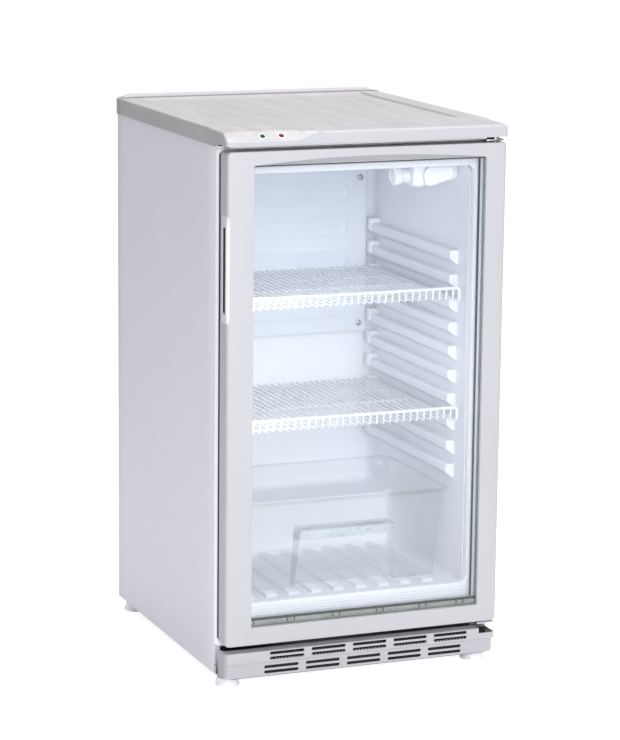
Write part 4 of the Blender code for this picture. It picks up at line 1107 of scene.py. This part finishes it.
def door_frame():
    x, z = (DOOR_LOW.x, DOOR_HIGH.x), (DOOR_LOW.z, DOOR_HIGH.z)
    back = DOOR_HIGH.y - FRONT
    rebate_x, rebate_z = (-0.222, 0.232), (0.094, 0.9)
    section = [(0.0014, 0.001, back, 0.006), (0.0002, 0.0002, back - 0.0012, 0.007),
               (0.0, 0.0, 0.0062, 0.007)]
    for turn in (20, 40, 60, 80, 90):
        bend = math.radians(turn)
        section.append((0.006 * (1 - math.cos(bend)), 0.0024 * (1 - math.cos(bend)) ** 2,
                        0.0062 - 0.0062 * math.sin(bend) ** 0.9, 0.007))
    rings = []
    for inset_x, inset_z, d, radius in section:
        rings.append(rect_ring(grown(x, -inset_x), grown(z, -inset_z), radius, d, 6, 28))
    for out, d, lift in ((0.0012, 0.0, 1.0), (0.0005, 0.0004, 0.96), (0.0001, 0.005, 0.06),
                         (0.0, 0.0056, 0.0), (0.0, 0.006, 0.0)):
        ring = rect_ring(grown(VIEW_X, out), grown(VIEW_Z, out), 0.0016 + out, d, 6, 28)
        for point in ring:
            if point.z > VIEW_Z[1] - 0.001:
                point.z += lift * arch(point.x)
        rings.append(ring)
    rings.append(rect_ring(rebate_x, rebate_z, 0.003, 0.0065, 6, 28))
    rings.append(rect_ring(rebate_x, rebate_z, 0.003, back, 6, 28))
    form = Form()
    form.loft(rings, loop=True)
    item = form.raw("door_surround")
    low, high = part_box("door_handle")
    notch = Form()
    notch.block((-0.3, FRONT - 0.01, low.z + 0.0004), (HANDLE_SEAM - 0.0002, deep(0.033), high.z - 0.0004))
    for node in ("top_hinge_bush", "bottom_hinge_bush"):
        bush_low, bush_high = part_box(node)
        centre = (bush_low + bush_high) / 2
        top = node.startswith("top")
        notch.turned([(0.0067, bush_low.z if top else z[0] - 0.01),
                      (0.0067, z[1] + 0.01 if top else bush_high.z)], (centre.x, centre.y, 0))
    carved(item, notch)
    # Painted shade: the downward-facing faces of the arch slope above the window take the darker copy of
    # the door plastic.
    for face in item.data.polygons:
        if face.center.y < deep(0.0055) and face.center.z > VIEW_Z[1] + 0.0004 and face.normal.z < -0.15:
            face.material_index = 1
    dress(item, ["door_plastic", "door_painted_shade"], "door_frame", body="door", angle=24)


def door_handle():
    low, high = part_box("door_handle")
    slot_low, slot_high = low.z + 0.017, high.z - 0.018
    out, inner = low.x, HANDLE_SEAM
    rows = []
    heights = [low.z, low.z + 0.001, low.z + 0.003, low.z + 0.006, low.z + 0.01, slot_low - 0.003,
               slot_low - 0.0006, slot_low, slot_low + 0.0014]
    heights += [mix(slot_low + 0.004, slot_high - 0.004, step / 10) for step in range(11)]
    heights += [slot_high - 0.0014, slot_high, slot_high + 0.0006, slot_high + 0.003, high.z - 0.01,
                high.z - 0.006, high.z - 0.003, high.z - 0.001, high.z]
    for height in heights:
        end = min(height - low.z, high.z - height)
        proud = smooth(end / 0.012)
        open_share = smooth(min(height - slot_low, slot_high - height) / 0.0014)
        edge = mix(-0.2499, out + 0.0004, proud)
        face = mix(0.0014, -0.0011, proud)
        bottom = mix(edge + 0.0003, -0.2464, open_share)
        rim = mix(-0.25, -0.2512, proud)
        row = [(inner, mix(0.003, 0.001, proud)), (inner - 0.0003, mix(0.0016, -0.0002, proud)),
               (inner - 0.001, mix(0.0014, face, 0.8)), (inner - 0.0018, face),
               (mix(-0.2474, -0.248, proud), face),
               (mix(-0.2486, -0.2502, proud), mix(0.0036, -0.0002, proud)),
               (mix(-0.2495, edge, proud), mix(0.005, 0.0014, proud)),
               (edge, 0.0056), (edge + 0.0005, 0.0062), (bottom, 0.0066), (bottom, 0.016),
               (rim + 0.0004, 0.017), (rim, 0.0176), (rim, 0.0208),
               (-0.25, 0.0222), (-0.25, 0.03), (-0.249, 0.0324), (inner, 0.0328)]
        rows.append([at(x, d, height) for x, d in row])
    form = Form()
    form.loft(rows)
    item = form.raw("pull")
    # Painted shade: the faces inside the hand-hold slot take the near-black finish, for the shadow deep in
    # the slot.
    for face in item.data.polygons:
        centre = face.center
        if deep(0.0062) < centre.y < deep(0.017) and slot_low - 0.0005 < centre.z < slot_high + 0.0005:
            if centre.x > -0.249:
                face.material_index = 1
    dress(item, ["handle_plastic", "dark_opening"], "door_handle", body="door", angle=40)


def door_inside():
    low, high, front, back = spans("pane_spacer")
    open_x, open_z = (-0.2065, 0.2165), (0.1215, 0.8855)
    form = Form()
    outer = (grown(open_x, 0.0095), (low.z, high.z), 0.002)
    lips = ((0.0004, front), (0, front + 0.0008), (0, back - 0.0008), (0.0004, back))
    rings = even_rings(open_x, open_z, 0.002, lips)
    form.loft([rect_ring(*outer, front), *rings, rect_ring(*outer, back)], loop=True)
    bead = ((0.003, front - 0.0001), (-0.0009, front - 0.0001), (-0.0012, front + 0.0006),
            (-0.0006, front + 0.0012), (0.003, front + 0.0012))
    form.loft(even_rings(open_x, open_z, 0.002, bead), loop=True, paint=1)
    for centre in SPACER_TICKS:
        for side in (-0.0063, 0.0063):
            x = centre + side
            if x > open_x[0]:
                form.slab((x - 0.0011, x + 0.0011), (front - 0.0002, front + 0.0008), (0.1125, 0.1212),
                          0.0002, 1, 1)
    form.piece("glazing_spacer", ["spacer_aluminium", "dark_opening"], "pane_spacer", body="door")

    low, high, front, back = spans("door_inner_frame")
    x, z = (low.x, high.x), (low.z, high.z)
    open_x, open_z = (-0.2065, 0.2165), (0.1115, 0.8855)
    form = Form()
    rings = [rect_ring(x, z, 0.003, front)]
    rings += even_rings(open_x, open_z, 0.003, ((0.0006, front), (0, front + 0.0008), (0, back - 0.002)))
    rings += even_rings(open_x, open_z, 0.0034, ((0.0006, back - 0.0006),))
    rings += even_rings(open_x, open_z, 0.0044, ((0.002, back),))
    rings += even_rings(x, z, 0.003, ((-0.0008, back), (0, back - 0.0008)))
    form.loft(rings, loop=True)
    form.piece("glazing_bead", "inner_plastic", "door_inner_frame", body="door")

    low, high, front, back = spans("door_gasket")
    out_x, out_z = (-0.25, high.x), (low.z, high.z)
    rings = []
    in_x, in_z = (-0.2235, 0.2165), (0.1055, 0.883)
    profile = [(0.0, 0.0), (0.0, 0.24), (0.2, 0.35), (0.04, 0.51), (0.0, 0.7), (0.03, 0.92), (0.15, 1.0),
               (0.8, 1.0), (0.97, 0.89), (1.0, 0.68), (0.84, 0.49), (0.97, 0.32), (0.99, 0.0), (0.6, 0.0)]
    for across, along in profile:
        limits_x = (mix(out_x[0], in_x[0], across), mix(out_x[1], in_x[1], across))
        limits_z = (mix(out_z[0], in_z[0], across), mix(out_z[1], in_z[1], across))
        rings.append(rect_ring(limits_x, limits_z, 0.006, mix(front, back, along)))
    form = Form()
    form.loft(rings, loop=True)
    form.piece("door_seal", "gasket_rubber", "door_gasket", body="door", angle=50)


def hinges():
    low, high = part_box("top_hinge_bracket")
    pin = middle_of("top_hinge_pin")
    form = Form()
    form.block(low, high, 0.001)
    item = form.raw("upper_hinge_plate")
    hole = Form()
    hole.turned([(0.0043, 0.02), (0.0043, -0.02)], (pin.x, pin.y, low.z))
    dress(carved(item, hole), "zinc_steel", "top_hinge_bracket")
    low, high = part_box("bottom_hinge_bracket")
    pin = middle_of("bottom_hinge_pin")
    path = rounded_path([Vector((0, low.y, 0.074)), Vector((0, high.y - 0.0015, 0.074)),
                         Vector((0, high.y - 0.0015, low.z))], 0.003, 4)
    form = Form()
    form.loft([[Vector((x, p.y, p.z)) for p in path] for x in (low.x, (low.x + high.x) / 2, high.x)],
              wrap=False, caps=False)
    item = form.sheet("lower_hinge_plate", 0.0029, even=True)
    hole = Form()
    hole.turned([(0.0043, 0.02), (0.0043, -0.02)], (pin.x, pin.y, 0.074))
    dress(carved(item, hole), "zinc_steel", "bottom_hinge_bracket")


# Front grille and feet

SLOT_PITCH, SLOT_LENGTH, SLOT_ROUND, SLOT_HALF_HEIGHT = 0.0755, 0.06, 0.0024, 0.0027


def grille():
    low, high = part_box("vent_grille")
    half = high.x
    rear = 0.04
    radius = 0.009
    levels = [(low.z, 0.0062), (low.z + 0.0008, 0.006), (0.0448, 0.006), (0.046, 0.0054),
              (0.0466, 0.0035), (0.047, 0.0012), (0.0478, 0.0003), (0.0492, 0.0), (0.0644, 0.0),
              (0.066, 0.0004), (0.0669, 0.0014), (high.z, 0.003), (high.z, 0.01), (high.z, 0.0215)]
    rings = []
    for z, back in levels:
        inset = min(back * 0.25, 0.0016) if z < 0.06 else min(back, 0.003) * 0.6
        edge = half - inset
        left = [at(-edge, mix(rear, back + radius, step / 3), z) for step in range(3)]
        for step in range(6):
            turn = math.radians(90 * step / 5)
            left.append(at(-edge + radius * (1 - math.cos(turn)), back + radius * (1 - math.sin(turn)), z))
        middle = [at(mix(-edge + radius, edge - radius, step / 10), back, z) for step in range(1, 10)]
        ring = left + middle + [Vector((-point.x, point.y, point.z)) for point in reversed(left)]
        rings.append(ring)
    form = Form()
    form.loft(rings, wrap=False, caps=False)
    item = form.raw("kick_plate")
    top_face = max(item.data.polygons, key=lambda p: p.center.z)
    modified(item, "SOLIDIFY", thickness=0.0024, offset=-1.0 if top_face.normal.z > 0 else 1.0)
    holes = Form()
    tiers = ((-0.1695, (0.0536, 0.0624)), (-0.1775, (0.0284, 0.0374)))
    for first, heights in tiers:
        for z in heights:
            for index in range(5):
                left = first + index * SLOT_PITCH
                path = [at(left + SLOT_ROUND, 0, z), at(left + SLOT_LENGTH, 0, z)]
                ring = []
                for end, start in ((0, 90), (1, -90)):
                    for step in range(9):
                        turn = math.radians(start + 180 * step / 8)
                        reach = (SLOT_ROUND * math.cos(turn), 0, SLOT_HALF_HEIGHT * math.sin(turn))
                        ring.append(path[end] + Vector(reach))
                holes.loft([[point + Vector((0, shift, 0)) for point in ring] for shift in (-0.008, 0.018)])
    carved(item, holes)
    notch = Form()
    notch.block((0.2178, FRONT - 0.01, 0.058), (0.3, deep(0.05), 0.09), 0.0012)
    dress(carved(item, notch), "grille_plastic", "vent_grille", angle=30)
    # Painted shade: a near-black sheet behind the slots stands for the dark space behind the grille; a row
    # of small fins is in the grille plastic.
    form = Form()
    form.slab((-0.236, 0.236), (0.011, 0.0125), (0.0205, 0.0655), 0.0004, 1)
    form.slab((-0.236, 0.236), (0.0026, 0.0118), (0.064, 0.0652), 0.0003, 1)
    form.slab((-0.236, 0.236), (0.0088, 0.0118), (0.0203, 0.0232), 0.0003, 1)
    form.slab((-0.236, 0.236), (0.0026, 0.0118), (0.0494, 0.0502), 0.0002, 1)
    for number in range(62):
        x = -0.171 + number * 0.0061
        form.slab((x, x + 0.0024), (0.0027, 0.005), (0.05, 0.0519), 0.0, 1, 1)
    form.piece("grille_painted_shade_backing", ["dark_opening", "grille_plastic"], slot="black_plastic")


def feet():
    for name in ("foot_front_left", "foot_front_right", "foot_rear_left", "foot_rear_right"):
        low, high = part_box(name)
        middle = (low + high) / 2
        radius = (high.x - low.x) / 2
        form = Form()
        form.turned([(0.0, high.z), (0.006, high.z), (0.006, 0.0166), (0.0075, 0.016),
                     (radius * 0.8, 0.0156), (radius * 0.86, 0.0146), (radius * 0.9, 0.01),
                     (radius * 0.94, 0.0044), (radius * 0.99, 0.0032), (radius, 0.0022), (radius, 0.0008),
                     (radius * 0.97, 0.0001), (radius * 0.8, 0.0), (radius * 0.76, 0.0012),
                     (0.0, 0.0012)], (middle.x, middle.y, 0.0), (0, 0, 1), 96, flutes=24, flute=0.008)
        form.piece(name + "_cup", "foot_plastic", name, body=name)


# Machinery on the back

COIL_RUNS, COIL_WIRES, COIL_HALF_WIDTH = 13, 46, 0.2


def machinery():
    low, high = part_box("compressor")
    middle = (low + high) / 2
    form = Form()
    top = high.z
    profile = [(0.0, top)]
    for turn in range(10, 91, 8):
        bend = math.radians(turn)
        profile.append((0.06 * math.sin(bend), top - 0.034 * (1 - math.cos(bend))))
    seam = low.z + 0.062
    profile += [(0.06, seam + 0.005), (0.0606, seam + 0.0034), (0.0628, seam + 0.0028), (0.063, seam),
                (0.0628, seam - 0.0024), (0.059, seam - 0.003), (0.0585, low.z + 0.03),
                (0.056, low.z + 0.014), (0.048, low.z + 0.005), (0.036, low.z + 0.002),
                (0.0, low.z + 0.001)]
    form.turned(profile, (middle.x, middle.y, 0), (0, 0, 1), 64)
    form.block((low.x, middle.y - 0.042, low.z), (high.x, middle.y + 0.042, low.z + 0.003), 0.0012)
    for x in (low.x + 0.012, high.x - 0.012):
        for y in (middle.y - 0.032, middle.y + 0.032):
            form.turned([(0.0085, 0.0096), (0.01, 0.008), (0.008, 0.005), (0.01, 0.003), (0.0096, 0.0),
                         (0.0, 0.0), (0.0, 0.0096)], (x, y, low.z + 0.0015), (0, 0, 1), 20, paint=1)
    form.turned([(0.0055, 0.012), (0.0055, 0.0)], (middle.x - 0.0585, middle.y - 0.007, low.z + 0.05),
                (-1, 0, 0), 20)
    form.piece("compressor_shell", ["black_enamel", "black_plastic"], "compressor")

    low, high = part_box("compressor_relay_box")
    form = Form()
    form.block(low, high, 0.004, 4)
    form.block((high.x - 0.004, low.y + 0.01, low.z - 0.002),
               (high.x + 0.0015, high.y - 0.01, high.z + 0.002), 0.001)
    form.piece("relay_cover", "black_plastic", "compressor_relay_box")

    low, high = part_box("evaporation_pan")
    rings = []
    for inset, z, radius in ((0.0, high.z - 0.0012, 0.01), (-0.0016, high.z - 0.0008, 0.011),
                             (-0.0016, high.z, 0.011), (0.0012, high.z, 0.01),
                             (0.003, low.z + 0.004, 0.009), (0.006, low.z + 0.0022, 0.007)):
        x, y = grown((low.x, high.x), -inset), grown((low.y, high.y), -inset)
        corners = [(x[0], y[0], z), (x[1], y[0], z), (x[1], y[1], z), (x[0], y[1], z)]
        rings.append(rounded_path(corners, radius, 5, loop=True))
    form = Form()
    rows = form.loft(rings, caps=False)
    form.bm.faces.new(rows[-1])
    item = form.sheet("melt_tray", 0.0016)
    dress(item, "black_plastic", "evaporation_pan")

    low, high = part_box("condenser_coil")
    form = Form()
    depth = (low.y + high.y) / 2 - FRONT
    z_high, z_low = high.z - 0.0025, low.z + 0.0025
    gap = (z_high - z_low) / (COIL_RUNS - 1)
    corners = []
    for index in range(COIL_RUNS):
        z = z_high - index * gap
        start = -COIL_HALF_WIDTH if index % 2 == 0 else COIL_HALF_WIDTH
        corners += [at(start, depth, z), at(-start, depth, z)]
    form.tube(rounded_path(corners, gap * 0.46, 8), 0.0024, 10)
    for index in range(COIL_WIRES):
        x = mix(-0.176, 0.176, index / (COIL_WIRES - 1))
        d = depth + (0.003 if index % 2 else -0.003)
        form.tube([at(x, d, z_low - 0.012), at(x, d, (z_low + z_high) / 2), at(x, d, z_high + 0.012)],
                  0.00075, 6)
    form.piece("condenser_wires", "black_enamel", "condenser_coil", angle=60)

    for side in ("left", "right"):
        node = "condenser_bracket_" + side
        low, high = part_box(node)
        form = Form()
        form.block(low, high, 0.0022, 3)
        for z in (0.3, 0.555, 0.81):
            screw_head(form, (low.x + high.x) / 2, high.y - FRONT, z, (0, 1, 0), 0.0034)
        form.piece(node + "_strip", "black_enamel", node)

    low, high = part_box("compressor_mount")
    form = Form()
    form.block(low, high, 0.0009)
    form.piece("compressor_base", "zinc_steel", "compressor_mount")


# Everything is built in this order

top_cover()
indicators()
side_panels()
rear_panel()
machine_compartment()
front_flange()
breaker()
liner()
evaporator()
lamp_unit()
wire_shelves()
drawer()
door_frame()
door_handle()
door_inside()
hinges()
grille()
feet()
machinery()
recoat("pane_glass", "outer_pane", "inner_pane")
for pane in ("outer_pane", "inner_pane"):
    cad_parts[pane].visible_shadow = False
recoat("foam", "foam_insulation")
recoat("zinc_steel", "top_hinge_pin", "bottom_hinge_pin", "thermostat")
recoat("black_plastic", "top_hinge_bush", "bottom_hinge_bush")
recoat("diffuser_plastic", "lamp_tube", "drain_tube")
recoat("copper", "filter_drier", "discharge_tube", "suction_tube", "capillary_tube")


# Floor, light and camera

CAMERA_PLACE = (-1.86075, -4.61673, 1.48224)
CAMERA_TURN = (-22.09, 11.349, 0.633)
CAMERA_LENS = 140.0


def floor():
    look = Look("floor_pale")
    cloud = look.noise(0.7, 2.0)
    look.link(look.blend(look.ranged(cloud), rgb(238, 239, 241), rgb(243, 243, 245)),
              look.shader.inputs["Base Color"])
    look.set(Roughness=0.75, Emission_Color=(1.0, 1.0, 1.0, 1.0))
    seen = look.add("ShaderNodeLightPath").outputs["Is Camera Ray"]
    look.feed("Emission Strength", look.ranged(seen, 0.0, 1.0, 0.16, 0.75))
    look.made.cycles.emission_sampling = "NONE"
    form = Form()
    form.turned([(30.0, -0.0006), (0.0, -0.0006)], (0, 0, 0), (0, 0, 1), 64)
    item = form.raw("studio_floor")
    item.data.materials.append(look.made)


def light(name, place, target, size, energy, colour=(1.0, 1.0, 1.0), width=None):
    data = bpy.data.lights.new(name, "AREA")
    data.energy = energy
    data.color = colour
    data.size = size
    if width:
        data.shape = "RECTANGLE"
        data.size_y = width
        data.spread = math.radians(150)
    item = bpy.data.objects.new(name, data)
    bpy.context.scene.collection.objects.link(item)
    item.location = place
    item.rotation_euler = (Vector(target) - Vector(place)).to_track_quat("-Z", "Y").to_euler()
    item.visible_camera = False
    return item


def studio():
    world = bpy.data.worlds.new("studio")
    bpy.context.scene.world = world
    world.use_nodes = True
    tree = world.node_tree
    background = tree.nodes["Background"]
    background.inputs["Color"].default_value = (0.97, 0.985, 1.0, 1.0)
    background.inputs["Strength"].default_value = 0.42
    seen = tree.nodes.new("ShaderNodeBackground")
    seen.inputs["Color"].default_value = (1.0, 1.0, 1.0, 1.0)
    seen.inputs["Strength"].default_value = 1.0
    path = tree.nodes.new("ShaderNodeLightPath")
    both = tree.nodes.new("ShaderNodeMixShader")
    tree.links.new(path.outputs["Is Camera Ray"], both.inputs[0])
    tree.links.new(background.outputs[0], both.inputs[1])
    tree.links.new(seen.outputs[0], both.inputs[2])
    tree.links.new(both.outputs[0], tree.nodes["World Output"].inputs["Surface"])
    light("key", (-0.45, -3.9, 1.45), (0.0, -0.2, 0.5), 2.2, 132.0)
    light("overhead", (0.2, 0.1, 3.4), (0.0, 0.0, 0.5), 2.4, 102.0)
    cool = (0.95, 0.97, 1.0)
    post = light("left_post", (-0.196, deep(0.066), 0.5), (0.2, deep(0.18), 0.46), 0.02, 0.72, cool, 0.66)
    post.visible_glossy = False


def camera():
    data = bpy.data.cameras.new("camera")
    data.lens = CAMERA_LENS
    data.sensor_width = 36.0
    data.clip_end = 100.0
    item = bpy.data.objects.new("camera", data)
    bpy.context.scene.collection.objects.link(item)
    azimuth, pitch, roll = (math.radians(turn) for turn in CAMERA_TURN)
    level = math.cos(pitch)
    forward = Vector((-math.sin(azimuth) * level, math.cos(azimuth) * level, -math.sin(pitch)))
    side = Vector((math.cos(azimuth), math.sin(azimuth), 0.0))
    up = side.cross(forward)
    right = side * math.cos(roll) + up * math.sin(roll)
    over = up * math.cos(roll) - side * math.sin(roll)
    matrix = Matrix((right, over, -forward)).transposed().to_4x4()
    matrix.translation = Vector(CAMERA_PLACE)
    item.matrix_world = matrix
    bpy.context.scene.camera = item


floor()
studio()
camera()
bpy.context.scene.view_settings.view_transform = "Standard"
